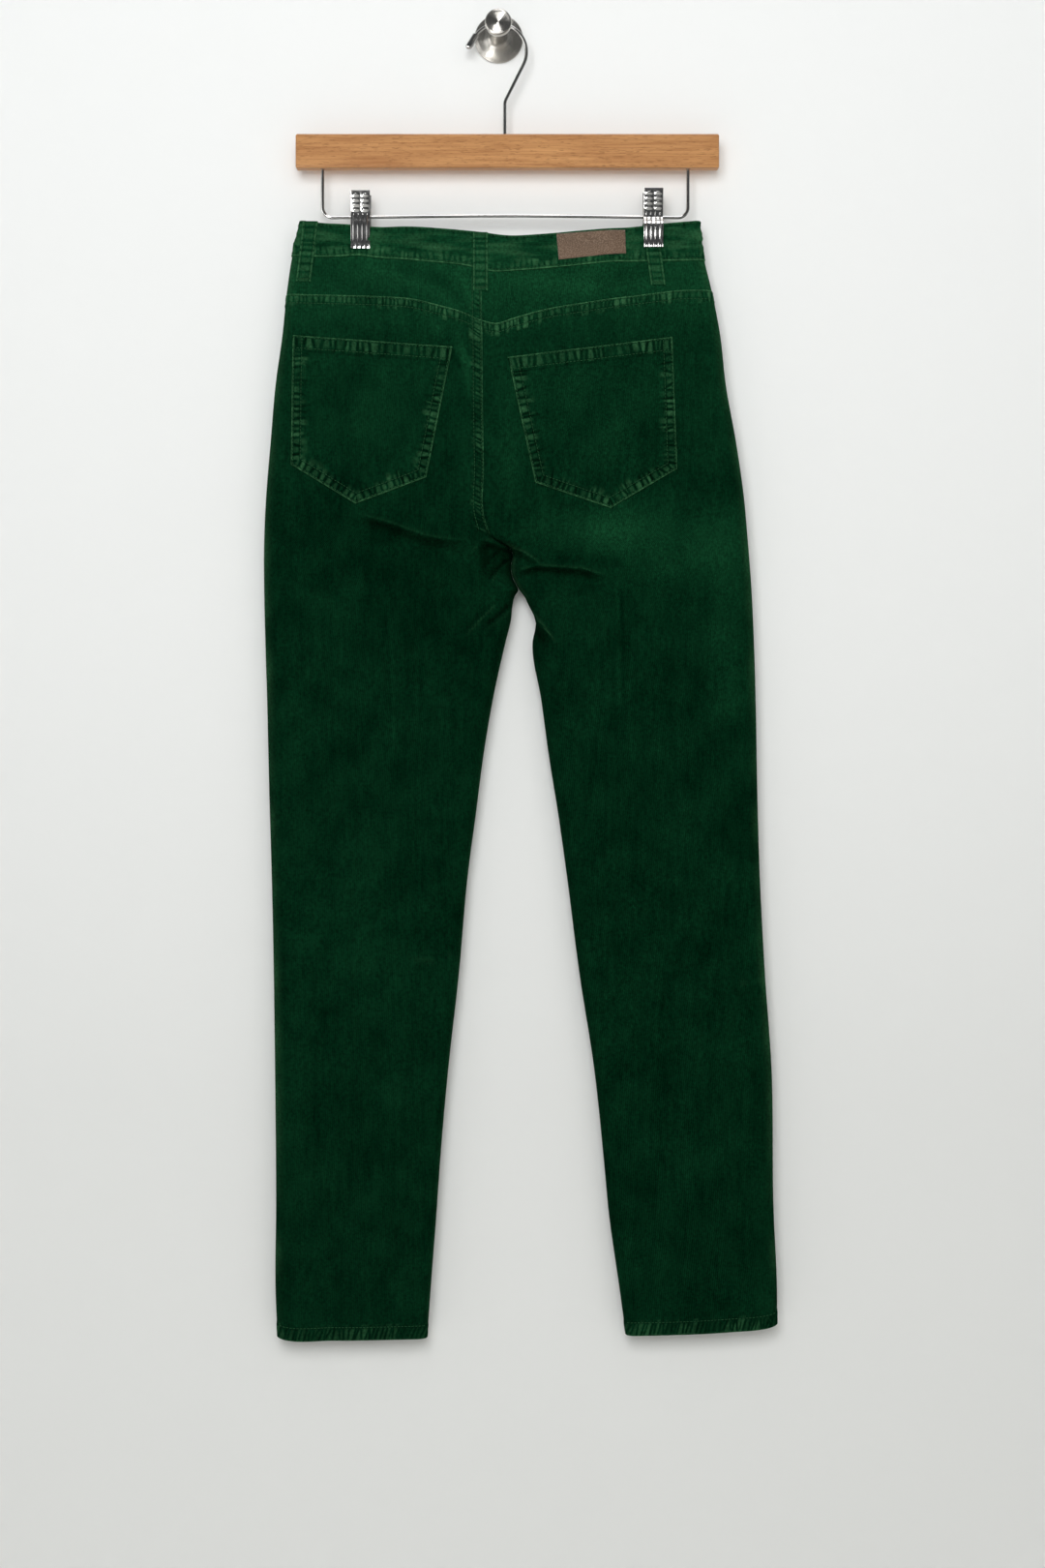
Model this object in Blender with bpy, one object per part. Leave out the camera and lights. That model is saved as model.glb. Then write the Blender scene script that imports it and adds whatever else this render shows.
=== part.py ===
"""Five-pocket jeans hanging by the waist, back to the viewer, from a wooden clip hanger on a wall knob.

Named sizes and tables are in millimetres and become metres when a mesh is made. The origin is on the
wall, on the knob's axis: +X to the right for somebody facing the wall, +Y into the wall, +Z up.
A "drop" is a distance below the origin. Left and right are the wearer's, and since the back shows,
they are also the viewer's. The garment is two legs of cloth, flattened as it hangs: every panel is a
patch of one surface, whose distance from the hanging plane is worked out from the tables below.
"""
import math

import bmesh
import bpy
import numpy as np

MM = 0.001
HANG_PLANE = -20.0          # y of the plane in which hook, bar, wires and waistband hang
SEAM_GAP = 0.3              # clearance between neighbouring pieces
LAY_GAP = 0.6               # clearance under a piece that lies on a curved panel

CLOTH_WALL = 1.6            # corduroy of the legs and yokes
BAND_WALL = 2.6             # waistband: two layers and a stiffener
BAND_RAISE = 0.8            # how far the waistband stands proud of the yoke
POCKET_WALL = 1.4
LOOP_WALL = 1.8
LABEL_WALL = 0.8
FACING_WALL = 1.4

# Outline and thickness of the hanging garment, seen from the back.
# fold: how far in from the edge the cloth turns round to the other face.
SECTION_COLUMNS = ("drop", "left_edge", "right_edge", "back_depth", "front_depth", "fold")
SECTIONS = [
    (167, -176.5, 179.5, 11.0, 9.0, 5.0),
    (200, -184.0, 183.0, 12.0, 9.5, 6.0),
    (230, -188.5, 190.0, 13.0, 10.0, 7.5),
    (269, -192.5, 197.5, 15.0, 11.0, 9.0),
    (317, -199.0, 203.0, 17.0, 11.5, 10.0),
    (364, -203.0, 211.5, 18.0, 12.0, 11.0),
    (412, -207.0, 218.5, 18.5, 12.0, 11.5),
    (455, -209.0, 222.5, 17.0, 12.0, 12.0),
    (502, -209.0, 226.0, 13.5, 11.5, 12.0),
    (545, -208.0, 228.0, 12.0, 11.0, 12.0),
    (596, -206.5, 229.5, 11.5, 10.5, 12.0),
    (680, -204.5, 231.0, 10.5, 10.0, 11.0),
    (748, -202.5, 233.0, 10.0, 9.5, 11.0),
    (843, -200.5, 238.0, 9.5, 9.0, 10.0),
    (921, -199.5, 243.5, 9.0, 8.5, 10.0),
    (1051, -198.5, 245.5, 8.5, 8.0, 9.0),
    (1120, -199.0, 248.5, 8.0, 7.5, 9.0),
    (1168, -197.0, 248.5, 8.0, 7.5, 8.0),
]

# The seat seam above the crotch, the line where the legs touch, and below that the gap between them.
MIDDLE_COLUMNS = ("drop", "back_middle", "front_middle", "gap")
MIDDLE = [
    (167, -16.5, 14.0, 0),
    (257, -14.6, 13.0, 0),
    (388, -12.9, 8.0, 0),
    (440, -11.0, -1.0, 0),
    (448, -8.0, 2.0, 0),
    (453, -4.0, 5.0, 0),
    (457, 3.5, 8.0, 0),
    (461, 10.5, 10.5, 0),
    (465, 12.8, 12.8, 0),
    (474, 11.5, 11.5, 0),
    (484, 11.8, 11.8, 0),
    (492, 15.0, 15.0, 0),
    (498, 18.3, 18.3, 1),
    (503, 18.6, 18.6, 8),
    (512, 19.8, 19.8, 14.5),
    (524, 22.0, 22.0, 21.5),
    (545, 18.2, 18.2, 24),
    (596, 16.5, 16.5, 43),
    (642, 15.7, 15.7, 57),
    (697, 16.5, 16.5, 73),
    (748, 16.7, 16.7, 87),
    (843, 18.5, 18.5, 108),
    (921, 20.2, 20.2, 129),
    (1008, 21.0, 21.0, 146),
    (1051, 21.5, 21.5, 153),
    (1120, 23.7, 23.7, 168),
    (1168, 25.2, 25.2, 178),
]
CURL_START, CURL_END = 425.0, 459.0     # between these drops the seat seam curls under to the crotch

# Edges and seams that run across the garment: x, drop.
BACK_WAIST_TOP = [(-176, 169), (-159, 171), (-132, 172.5), (-114, 174.3), (-65, 176.5), (-16, 180.8),
                  (8, 183.8), (39, 182.5), (73, 179.5), (107, 176.5), (146, 171.7), (179, 169)]
BACK_WAIST_SEAM = [(-184, 201), (-159, 201.8), (-142, 201.4), (-126, 200.4), (-107, 202.7),
                   (-73, 206.6), (-26, 211.7), (-7, 216), (21, 215.2), (69, 210.9), (107, 207),
                   (133, 205.7), (159, 205.3), (183, 204.9)]
YOKE_SEAM = [(-188, 235.8), (-142, 236.6), (-99, 238.3), (-73, 241.3), (-54, 246.1), (-34, 251.6),
             (-14, 260), (-3, 262.5), (13, 258.1), (33, 252.1), (86, 242.6), (135, 235.3), (163, 232.1),
             (190, 232)]
FRONT_WAIST_TOP = [(-177, 169), (-120, 178), (-50, 187), (14, 190), (70, 187), (130, 179), (180, 169)]
FRONT_WAIST_SEAM = [(-184, 201), (-120, 211), (-50, 221), (14, 224), (70, 221.5), (130, 213),
                    (183, 204.9)]
HEMS = [(-198, 1163), (-190, 1165), (-148, 1165.5), (-63, 1164), (0, 1163), (112, 1161.5),
        (159, 1160.5), (206, 1158), (240, 1154.5), (249, 1152)]

# Largest folds of the back: a soft ridge (height > 0) or trough (< 0) along a straight line.
# Columns: x0, drop0, x1, drop1, half_width, height.
BACK_FOLDS = [
    (30, 460, 112, 472, 13.0, 3.0),         # roll under the right of the seat
    (18, 481, 92, 485, 5.5, -3.5),          # drag line below it
    (-92, 430, -30, 442, 11.0, 2.0),        # roll under the left of the seat
    (-98, 438, -42, 455, 6.0, -2.5),
    (-8, 468, 6, 472, 9.0, -6.0),           # hollow at the crotch
    (11, 514, -29, 539, 5.0, -2.0),         # crease at the top of the left inseam
]

# Hanger: bar, hook, trouser wire and clips.
BAR_LEFT, BAR_RIGHT = -180.7, 196.5
BAR_TOP, BAR_HEIGHT, BAR_DEPTH = 92.0, 30.2, 12.0
WIRE_RADIUS = 1.5
HOOK_RADIUS = 25.0
HOOK_CENTRE_DROP = 17.5
HOOK_TIP_ANGLE = 149.0                  # degrees from +X, anticlockwise, where the arc ends
HOOK_LEAN = (-0.449, 0.894)             # direction (x, drop) of the slanted shank
HOOK_SHANK_X = 5.6
HOOK_BEND_RADIUS = 12.0
TIP_LENGTH, TIP_RADIUS = 11.5, 3.0
WIRE_LEFT, WIRE_RIGHT = -157.0, 169.1
WIRE_DROP, WIRE_ARCH = 165.5, 2.0
WIRE_BEND_RADIUS, WIRE_ARCH_RADIUS = 9.0, 4000.0

CLIP_WIDTH, CLIP_WALL = 17.3, 0.9
CLIP_BARREL_RADIUS = 4.3
CLIP_REACH, CLIP_REACH_FADE = 32.0, (195.0, 285.0)
CLIP_OUTER_REACH = 75.0                 # toward the side seams the cloth stays flat for longer
CLIP_SQUEEZE = 0.62
# Columns: side, x, top, lip, and how far from the hanging plane the jaw on the garment's back grips.
CLIPS = [
    ("left", -122.9, 143.3, 194.6, 5.6),
    ("right", 137.9, 141.2, 193.7, 8.1),
]
WALL_SIDE_GRIP = 4.9                    # the same for the jaw on the wall's side
JAW_TOP_FLARE, JAW_NECK_FLARE, JAW_NECK_DROP = 4.2, 1.6, 12.0
JAW_LIP_FLARE, JAW_LIP_HEIGHT = 1.6, 4.0
BARREL_SIDES, BARREL_INSET = 20, 1.0

# Wall knob: distance from the wall and radius of the turned profile.
KNOB_PROFILE = [(0, 21.9), (1.7, 21.9), (2.6, 20.9), (3.0, 18.5), (4.0, 15.5), (6.0, 12.0), (9.0, 9.2),
                (13.0, 7.2), (20.0, 5.6), (30.0, 4.9), (42.3, 4.8), (43.0, 11.0), (43.7, 11.8),
                (48.7, 11.8), (49.6, 11.1), (50.0, 9.5)]

BELT_LOOP_WIDTH = 13.4
# Columns: name, face, top_x, bottom_x, top, bottom.
BELT_LOOPS = [
    ("belt_loop_centre_back", "back", -16.0, -16.0, 181.5, 233.2),
    ("belt_loop_left_back", "back", -167.3, -173.6, 170.2, 224.2),
    ("belt_loop_right_back", "back", 134.8, 142.0, 172.8, 227.2),
    ("belt_loop_left_front", "front", -88.0, -89.0, 183.0, 236.0),
    ("belt_loop_right_front", "front", 100.0, 101.0, 184.0, 237.0),
]

# Columns: side, then the corners (x, drop) top_outer, top_inner, bottom_inner, tip, bottom_outer.
BACK_POCKETS = [
    ("left", (-182.3, 273.3), (-40.4, 283.5), (-63.6, 399.8), (-126.4, 423.1), (-183.6, 388.4)),
    ("right", (154.3, 274.9), (8.2, 292.8), (32.5, 404.4), (99.3, 426.9), (158.5, 392.1)),
]
# Corners (x, drop): top_left, top_right, bottom_right, bottom_left.
LABEL = [(51.5, 183.0), (112.2, 178.3), (113.1, 199.2), (53.5, 205.9)]

SCOOP_WIDTH, SCOOP_DEPTH = 62.0, 74.0   # front pocket opening, in from the side seam and down
FACING_LAP = 7.0                        # how far the facing runs on under the front panel
FACING_LEVEL = -(CLOTH_WALL + LAY_GAP + SEAM_GAP)   # its outer face, below the front panel's
COIN_TOP, COIN_BOTTOM, COIN_INSET, COIN_CLEARANCE = 24.0, 64.0, 14.0, 1.5
FLY_WIDTH, FLY_LENGTH, FLY_LAP = 36.0, 140.0, 5.0
BUTTON_RADIUS, BUTTON_SHANK, BUTTON_FROM_EDGE = 8.5, 4.0, 13.0
# Columns: distance from the button's face, and how far inside its rim.
BUTTON_DOME = [(0, 3.0), (0.6, 0.6), (1.4, 0), (2.2, 0.8)]
BUTTON_PLATE, BUTTON_HEIGHT = 2.4, 4.0
BAR_ROUNDING = 1.8

# Mesh density: points on a folded edge, columns across the flat of a panel, and rows down a leg.
FOLD_POINTS = 3
PANEL_COLUMNS = 10
BACK_LEG_ROWS = [(250, 300, 4), (300, 425, 5), (425, 445, 2), (445, 470, 7), (470, 510, 5), (510, 600, 4),
                 (600, 1165, 8)]
FRONT_LEG_ROWS = [(222, 255, 2), (255, 285, 6), (285, 425, 3), (425, 445, 2), (445, 470, 6), (470, 510, 4),
                  (510, 1165, 8)]

COLOURS = {                             # linear colour, roughness, metallic
    "green_corduroy": ((0.011, 0.070, 0.032), 0.95, 0.0),
    "green_corduroy_worn": ((0.020, 0.100, 0.048), 0.95, 0.0),
    "brown_patch": ((0.095, 0.060, 0.043), 0.80, 0.0),
    "beech": ((0.560, 0.300, 0.140), 0.45, 0.0),
    "bright_steel": ((0.620, 0.620, 0.610), 0.18, 1.0),
    "turned_steel": ((0.560, 0.550, 0.530), 0.32, 1.0),
}


# ---------------------------------------------------------------- curves through table rows

def smooth(points):
    """Function of x through (x, value) points: cubic Hermite pieces, level beyond both ends."""
    xs, values = np.array(points, float).T
    slopes = np.gradient(values, xs)

    def at(x):
        x = np.clip(x, xs[0], xs[-1])
        i = np.clip(np.searchsorted(xs, x) - 1, 0, len(xs) - 2)
        span = xs[i + 1] - xs[i]
        t = (x - xs[i]) / span
        return ((1 + 2 * t) * (1 - t) ** 2 * values[i] + t * (1 - t) ** 2 * span * slopes[i]
                + t * t * (3 - 2 * t) * values[i + 1] + t * t * (t - 1) * span * slopes[i + 1])
    return at


def table_curves(columns, rows):
    """One smooth function of the first column for each of the other named columns."""
    return {name: smooth([(row[0], row[k]) for row in rows])
            for k, name in enumerate(columns) if k > 0}


SECTION = table_curves(SECTION_COLUMNS, SECTIONS)
CENTRE = table_curves(MIDDLE_COLUMNS, MIDDLE)
back_waist_top, back_waist_seam = smooth(BACK_WAIST_TOP), smooth(BACK_WAIST_SEAM)
front_waist_top, front_waist_seam = smooth(FRONT_WAIST_TOP), smooth(FRONT_WAIST_SEAM)
yoke_seam, hem = smooth(YOKE_SEAM), smooth(HEMS)


def eased(value, start, end):
    """0 before start, 1 after end, and a smooth step between."""
    t = np.clip((value - start) / (end - start), 0, 1)
    return t * t * (3 - 2 * t)


# ---------------------------------------------------------------- the hanging cloth's surface

def inner_edges(drop, face):
    """x where the left and the right leg end at the seat seam, or at the gap between the legs."""
    middle = CENTRE[face + "_middle"](drop)
    half = np.maximum(CENTRE["gap"](drop), 0) / 2 + SEAM_GAP / 2
    return middle - half, middle + half


def rounding(distance, radius):
    """Quarter of an ellipse: 0 at a folded edge, 1 once the cloth lies flat."""
    return np.sqrt(np.maximum(0, 1 - (1 - np.clip(distance / radius, 0, 1)) ** 2))


def clip_squeeze(x, drop):
    """Share of the thickness that is left where the clips press the waist flat."""
    held = 0
    for _side, clip_x, _top, _lip, _grip in CLIPS:
        outward = (x - clip_x) * np.sign(clip_x) > 0
        reach = np.where(outward, CLIP_OUTER_REACH, CLIP_REACH)
        held = np.maximum(held, np.exp(-((x - clip_x) / reach) ** 4))
    return 1 - CLIP_SQUEEZE * held * (1 - eased(drop, *CLIP_REACH_FADE))


def fold_height(x, drop, folds):
    """Sum of soft ridges and troughs: each falls off as a bell with distance from its line."""
    total = np.zeros(np.broadcast(x, drop).shape)
    for x0, drop0, x1, drop1, half_width, height in folds:
        along_x, along_drop = x1 - x0, drop1 - drop0
        t = ((x - x0) * along_x + (drop - drop0) * along_drop) / (along_x ** 2 + along_drop ** 2)
        t = np.clip(t, 0, 1)
        distance = np.hypot(x - x0 - t * along_x, drop - drop0 - t * along_drop)
        total = total + height * np.exp(-(distance / half_width) ** 2)
    return total


def depth(x, drop, face):
    """Distance of the cloth's outer face from the hanging plane, wherever the front view shows it."""
    left_inner, right_inner = inner_edges(drop, face)
    radius = SECTION["fold"](drop)
    to_side = np.minimum(x - SECTION["left_edge"](drop), SECTION["right_edge"](drop) - x)
    to_middle = np.maximum(left_inner - x, x - right_inner)
    t = np.clip((drop - CURL_START) / (CURL_END - CURL_START), 0, 1)
    curl = 1 - np.sqrt(1 - t * t)
    turned = 1 - curl * (1 - rounding(to_middle, radius))
    flat = SECTION[face + "_depth"](drop) * clip_squeeze(x, drop)
    if face == "back":
        flat = flat + fold_height(x, drop, BACK_FOLDS)
    return SEAM_GAP / 2 + flat * rounding(to_side, radius) * turned


def surface(x, drop, face):
    """Points of the cloth's outer face and the directions that point away from it."""
    step = 0.004
    left_inner, right_inner = inner_edges(drop, face)
    inside = np.where(x < (left_inner + right_inner) / 2, np.minimum(x, left_inner - 2 * step),
                      np.maximum(x, right_inner + 2 * step))
    inside = np.clip(inside, SECTION["left_edge"](drop) + 2 * step, SECTION["right_edge"](drop) - 2 * step)
    slope_x = (depth(inside + step, drop, face) - depth(inside - step, drop, face)) / (2 * step)
    slope_drop = (depth(inside, drop + step, face) - depth(inside, drop - step, face)) / (2 * step)
    out = -1.0 if face == "back" else 1.0
    points = np.stack([x, HANG_PLANE + out * depth(x, drop, face), -drop], axis=-1)
    normals = np.stack([-slope_x, np.full(x.shape, out), slope_drop], axis=-1)
    return points, normals / np.linalg.norm(normals, axis=-1, keepdims=True)


# ---------------------------------------------------------------- meshes and finishes

def finish(name):
    """Principled material of the given name, made once."""
    material = bpy.data.materials.get(name)
    if material is None:
        colour, roughness, metallic = COLOURS[name]
        material = bpy.data.materials.new(name)
        material.use_nodes = True
        shader = material.node_tree.nodes["Principled BSDF"]
        shader.inputs["Base Color"].default_value = (*colour, 1.0)
        shader.inputs["Roughness"].default_value = roughness
        shader.inputs["Metallic"].default_value = metallic
        material.diffuse_color = (*colour, 1.0)
    return material


def add_object(name, points, faces, material, soft_angle=40):
    """Object from points in millimetres and faces by point number, wound to point outwards."""
    mesh = bpy.data.meshes.new(name)
    mesh.from_pydata([tuple(point) for point in np.asarray(points) * MM], [], faces)
    mesh.materials.append(finish(material))
    mesh.shade_smooth()
    mesh.set_sharp_from_angle(angle=math.radians(soft_angle))
    item = bpy.data.objects.new(name, mesh)
    bpy.context.scene.collection.objects.link(item)
    return item


def wall_between(name, front, back, material):
    """One closed solid between two grids of points: both sides, and a rim round the edge.

    The front grid's rows run down and its columns to the right as its own viewer sees them.
    """
    rows, columns = front.shape[:2]
    number = np.arange(rows * columns).reshape(rows, columns)
    shift = rows * columns
    quads = np.stack([number[:-1, :-1], number[1:, :-1], number[1:, 1:], number[:-1, 1:]], axis=-1)
    faces = quads.reshape(-1, 4).tolist()
    faces += (quads[..., ::-1] + shift).reshape(-1, 4).tolist()
    rim = np.concatenate([number[:-1, 0], number[-1, :-1], number[:0:-1, -1], number[0, :0:-1]])
    following = np.roll(rim, -1)
    faces += np.stack([following, rim, rim + shift, following + shift], axis=-1).tolist()
    points = np.concatenate([front.reshape(-1, 3), back.reshape(-1, 3)])
    return add_object(name, points, faces, material)


def cloth(name, x, drop, face, wall, level=0.0, material="green_corduroy"):
    """Piece of cloth over a grid of (x, drop) places, its outer face raised by level off the surface."""
    points, normals = surface(x, drop, face)
    level = np.asarray(level, float)[..., None] if np.ndim(level) else level
    outer = points + normals * level
    inner = points + normals * (level - wall)
    if face == "front":
        outer, inner = outer[:, ::-1], inner[:, ::-1]
    return wall_between(name, outer, inner, material)


def columns_across(flat_columns, fold_left, fold_right):
    """Three weights for each column: of the left fold, of the flat width and of the right fold.

    On a fold the columns stand at equal turns of the round, so the edge is as smooth as the rest.
    """
    turn = 1 - np.cos(np.linspace(0, math.pi / 2, FOLD_POINTS + 1))[:-1]
    rows = [(t, 0, 0) for t in turn] if fold_left else []
    rows += [(float(fold_left), s, 0) for s in np.linspace(0, 1, flat_columns + 1)]
    rows += [(float(fold_left), 1, 1 - t) for t in turn[::-1]] if fold_right else []
    return np.array(rows).T


def panel_grid(left, right, top, bottom, down, columns=PANEL_COLUMNS, folds=(True, True)):
    """Places (x, drop) of a panel between two upright edges and two seams.

    left and right give x for a drop, top and bottom give a drop for an x, so the grid is settled by
    working out each from the other a few times. down holds the rows' shares of the way from top to bottom.
    """
    fold_left, width, fold_right = columns_across(columns, *folds)
    down = np.asarray(down)[:, None]
    x = np.zeros((len(down), len(width)))
    drop = np.broadcast_to(top(x) + (bottom(x) - top(x)) * down, x.shape)
    for _ in range(8):
        radius = SECTION["fold"](drop)
        from_x, to_x = left(drop), right(drop)
        kept = radius * (float(folds[0]) + float(folds[1]))
        x = from_x + fold_left * radius + width * (to_x - from_x - kept) + fold_right * radius
        drop = top(x) + (bottom(x) - top(x)) * down
    return x, drop


def shares(spans):
    """Rows' shares of a length from (start, end, count) spans."""
    stops = [spans[0][0]]
    for start, end, count in spans:
        stops += list(np.linspace(start, end, count + 1)[1:])
    stops = np.array(stops, float)
    return (stops - stops[0]) / (stops[-1] - stops[0])


def lowered(curve, amount):
    """The same seam, moved down (or up, if negative)."""
    return lambda x: curve(x) + amount


def revolve(name, profile, centre, material, segments=32):
    """Solid turned about an axis along Y: profile rows are (distance towards -Y, radius)."""
    angles = np.linspace(0, 2 * math.pi, segments, endpoint=False)
    rings = [np.stack([radius * np.cos(angles), np.full(segments, -reach), radius * np.sin(angles)], -1)
             for reach, radius in profile]
    poles = [(0, -profile[0][0], 0), (0, -profile[-1][0], 0)]
    points = np.concatenate([*rings, poles]) + np.asarray(centre, float)
    number = np.arange(len(profile) * segments).reshape(-1, segments)
    after = np.roll(number, -1, axis=1)
    sides = np.stack([number[:-1], after[:-1], after[1:], number[1:]], -1).reshape(-1, 4).tolist()
    near, far = len(points) - 2, len(points) - 1
    caps = [(near, b, a) for a, b in zip(number[0], after[0])]
    caps += [(far, a, b) for a, b in zip(number[-1], after[-1])]
    return add_object(name, points, sides + [tuple(int(n) for n in cap) for cap in caps], material)


def rounded_path(corners, radii, steps=6):
    """Flat path through corners (x, drop), each inner corner replaced by an arc of its radius."""
    corners = [np.array(corner, float) for corner in corners]
    path = [corners[0]]
    for before, corner, after, radius in zip(corners, corners[1:], corners[2:], radii):
        into = (corner - before) / np.linalg.norm(corner - before)
        out = (after - corner) / np.linalg.norm(after - corner)
        turn = math.acos(float(np.clip(into @ out, -1, 1)))
        reach = radius * math.tan(turn / 2)
        side = np.array([-into[1], into[0]]) * np.sign(into[0] * out[1] - into[1] * out[0])
        centre = corner - into * reach + side * radius
        for angle in np.linspace(0, turn, steps + 1):
            path.append(centre - side * radius * math.cos(angle) + into * radius * math.sin(angle))
    path.append(corners[-1])
    return np.array(path)


def wire(name, path, material, radius=WIRE_RADIUS, sides=8):
    """Round wire along a flat path (x, drop) in the hanging plane, its ends closed."""
    run = np.gradient(path, axis=0)
    run /= np.linalg.norm(run, axis=1, keepdims=True)
    across = np.stack([-run[:, 1], np.zeros(len(run)), -run[:, 0]], axis=1)
    centres = np.stack([path[:, 0], np.full(len(path), HANG_PLANE), -path[:, 1]], axis=1)
    angles = np.linspace(0, 2 * math.pi, sides, endpoint=False)
    rings = (centres[:, None] + radius * np.cos(angles)[None, :, None] * across[:, None]
             + radius * np.sin(angles)[None, :, None] * np.array([0.0, 1.0, 0.0]))
    number = np.arange(len(path) * sides).reshape(-1, sides)
    after = np.roll(number, -1, axis=1)
    faces = np.stack([number[:-1], after[:-1], after[1:], number[1:]], -1).reshape(-1, 4).tolist()
    faces += [number[0, ::-1].tolist(), number[-1].tolist()]
    return add_object(name, rings.reshape(-1, 3), faces, material)


# ---------------------------------------------------------------- the garment's pieces

def side_edges(side, face):
    """The two upright edges of a leg: its side fold, and the seat seam or inseam."""
    if side == "left":
        return SECTION["left_edge"], lambda drop: inner_edges(drop, face)[0]
    return lambda drop: inner_edges(drop, face)[1], SECTION["right_edge"]


def make_back(side):
    """Yoke and leg of one side of the back, as they are cut."""
    left, right = side_edges(side, "back")
    x, drop = panel_grid(left, right, lowered(back_waist_seam, SEAM_GAP / 2),
                         lowered(yoke_seam, -SEAM_GAP / 2), np.linspace(0, 1, 4))
    cloth(f"back_yoke_{side}", x, drop, "back", CLOTH_WALL)
    x, drop = panel_grid(left, right, lowered(yoke_seam, SEAM_GAP / 2), hem, shares(BACK_LEG_ROWS))
    cloth(f"back_leg_{side}", x, drop, "back", CLOTH_WALL)


def scoop_offset(drop, seam_drop):
    """How far in from the side seam the front pocket's opening runs, as a quarter of an ellipse."""
    t = np.clip((drop - seam_drop) / SCOOP_DEPTH, 0, 1)
    return SCOOP_WIDTH * np.sqrt(1 - t * t)


def make_front(side):
    """Leg of one side of the front, cut away at the pocket opening, and the facing behind the opening."""
    left, right = side_edges(side, "front")
    sign = 1 if side == "left" else -1
    outer, inner = (left, right) if side == "left" else (right, left)
    seam_drop = float(front_waist_seam(outer(np.array(205.0))))

    def cut_edge(drop):
        return outer(drop) + sign * scoop_offset(drop, seam_drop)

    edges = (cut_edge, inner) if side == "left" else (inner, cut_edge)
    x, drop = panel_grid(*edges, lowered(front_waist_seam, SEAM_GAP / 2), hem, shares(FRONT_LEG_ROWS), 8)
    cloth(f"front_leg_{side}", x, drop, "front", CLOTH_WALL)

    def facing_edge(drop):
        return cut_edge(drop) + sign * FACING_LAP

    def facing_bottom(x):
        return np.full(np.shape(x), seam_drop + SCOOP_DEPTH)

    edges = (outer, facing_edge) if side == "left" else (facing_edge, outer)
    x, drop = panel_grid(*edges, lowered(front_waist_seam, SEAM_GAP / 2), facing_bottom,
                         np.sqrt(np.linspace(0, 1, 7)), 4, (side == "left", side == "right"))
    cloth(f"front_pocket_facing_{side}", x, drop, "front", FACING_WALL, FACING_LEVEL)
    return outer, cut_edge, seam_drop


def make_coin_pocket(outer, cut_edge, seam_drop):
    """Small fifth pocket on the right facing, seen inside the pocket opening."""
    drop = np.linspace(seam_drop + COIN_TOP, seam_drop + COIN_BOTTOM, 6)[:, None]
    right = outer(drop) - COIN_INSET
    left = cut_edge(drop) + COIN_CLEARANCE
    x = left + (right - left) * np.linspace(0, 1, 5)
    level = FACING_LEVEL + LAY_GAP + FACING_WALL
    cloth("coin_pocket", x, np.broadcast_to(drop, x.shape), "front", FACING_WALL, level)


def make_fly():
    """J-shaped fly on the left front, closed over the centre front seam."""
    down = np.linspace(0, 1, 9)[:, None]
    across = np.linspace(0, 1, 6)
    middle = CENTRE["front_middle"](front_waist_seam(14.0) + SEAM_GAP + FLY_LENGTH * down)
    width = FLY_WIDTH * np.sqrt(1 - (0.985 * down) ** 4)
    x = middle + FLY_LAP - (width + FLY_LAP) * (1 - across)
    drop = front_waist_seam(x) + 2 * SEAM_GAP + FLY_LENGTH * down
    cloth("fly", x, drop, "front", POCKET_WALL, LAY_GAP + POCKET_WALL)


def make_waistband():
    """Band round the waist in three stretches: across the back, and from each side fold to the fly."""
    down = np.linspace(0, 1, 4)
    bottom = lowered(back_waist_seam, -SEAM_GAP / 2)
    halves = [panel_grid(*side_edges(side, "back"), back_waist_top, bottom, down)
              for side in ("left", "right")]
    x, drop = [np.concatenate([left_half, right_half[:, 1:]], axis=1)
               for left_half, right_half in zip(*halves)]
    cloth("waistband_back", x, drop, "back", BAND_WALL, BAND_RAISE)
    bottom = lowered(front_waist_seam, -SEAM_GAP / 2)
    for side in ("left", "right"):
        x, drop = panel_grid(*side_edges(side, "front"), front_waist_top, bottom, down)
        cloth(f"waistband_front_{side}", x, drop, "front", BAND_WALL, BAND_RAISE)


def make_belt_loops():
    """Narrow double strips over the waistband, dropping on to the yoke or the front below it."""
    for name, face, top_x, bottom_x, top, bottom in BELT_LOOPS:
        down = np.linspace(0, 1, 9)[:, None]
        across = np.linspace(-0.5, 0.5, 4)
        x = top_x + (bottom_x - top_x) * down + BELT_LOOP_WIDTH * across
        drop = np.broadcast_to(top + (bottom - top) * down, x.shape)
        seam = back_waist_seam(x) if face == "back" else front_waist_seam(x)
        on_band = 1 - eased(drop, seam + 4, seam + 14)
        level = LAY_GAP + LOOP_WALL + BAND_RAISE * on_band
        cloth(name, x, drop, face, LOOP_WALL, level, "green_corduroy_worn")


def make_back_pockets():
    """Five-sided patch pockets, each ruled between its straight top and its pointed bottom."""
    for side, *corners in BACK_POCKETS:
        top_outer, top_inner, bottom_inner, tip, bottom_outer = [np.array(c) for c in corners]
        if side == "right":
            top_outer, top_inner = top_inner, top_outer
            bottom_outer, bottom_inner = bottom_inner, bottom_outer
        across = np.linspace(0, 1, 9)
        tip_share = float((tip[0] - bottom_outer[0]) / (bottom_inner[0] - bottom_outer[0]))
        across = np.sort(np.append(across[np.abs(across - tip_share) > 0.07], tip_share))
        top = np.stack([np.interp(across, (0, 1), (top_outer[k], top_inner[k])) for k in (0, 1)], -1)
        ends = (bottom_outer, tip, bottom_inner)
        bottom = np.stack([np.interp(across, (0, tip_share, 1), [end[k] for end in ends])
                           for k in (0, 1)], -1)
        down = np.linspace(0, 1, 9)[:, None, None]
        places = top + (bottom - top) * down
        cloth(f"back_pocket_{side}", places[..., 0], places[..., 1], "back", POCKET_WALL,
              LAY_GAP + POCKET_WALL)


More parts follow.
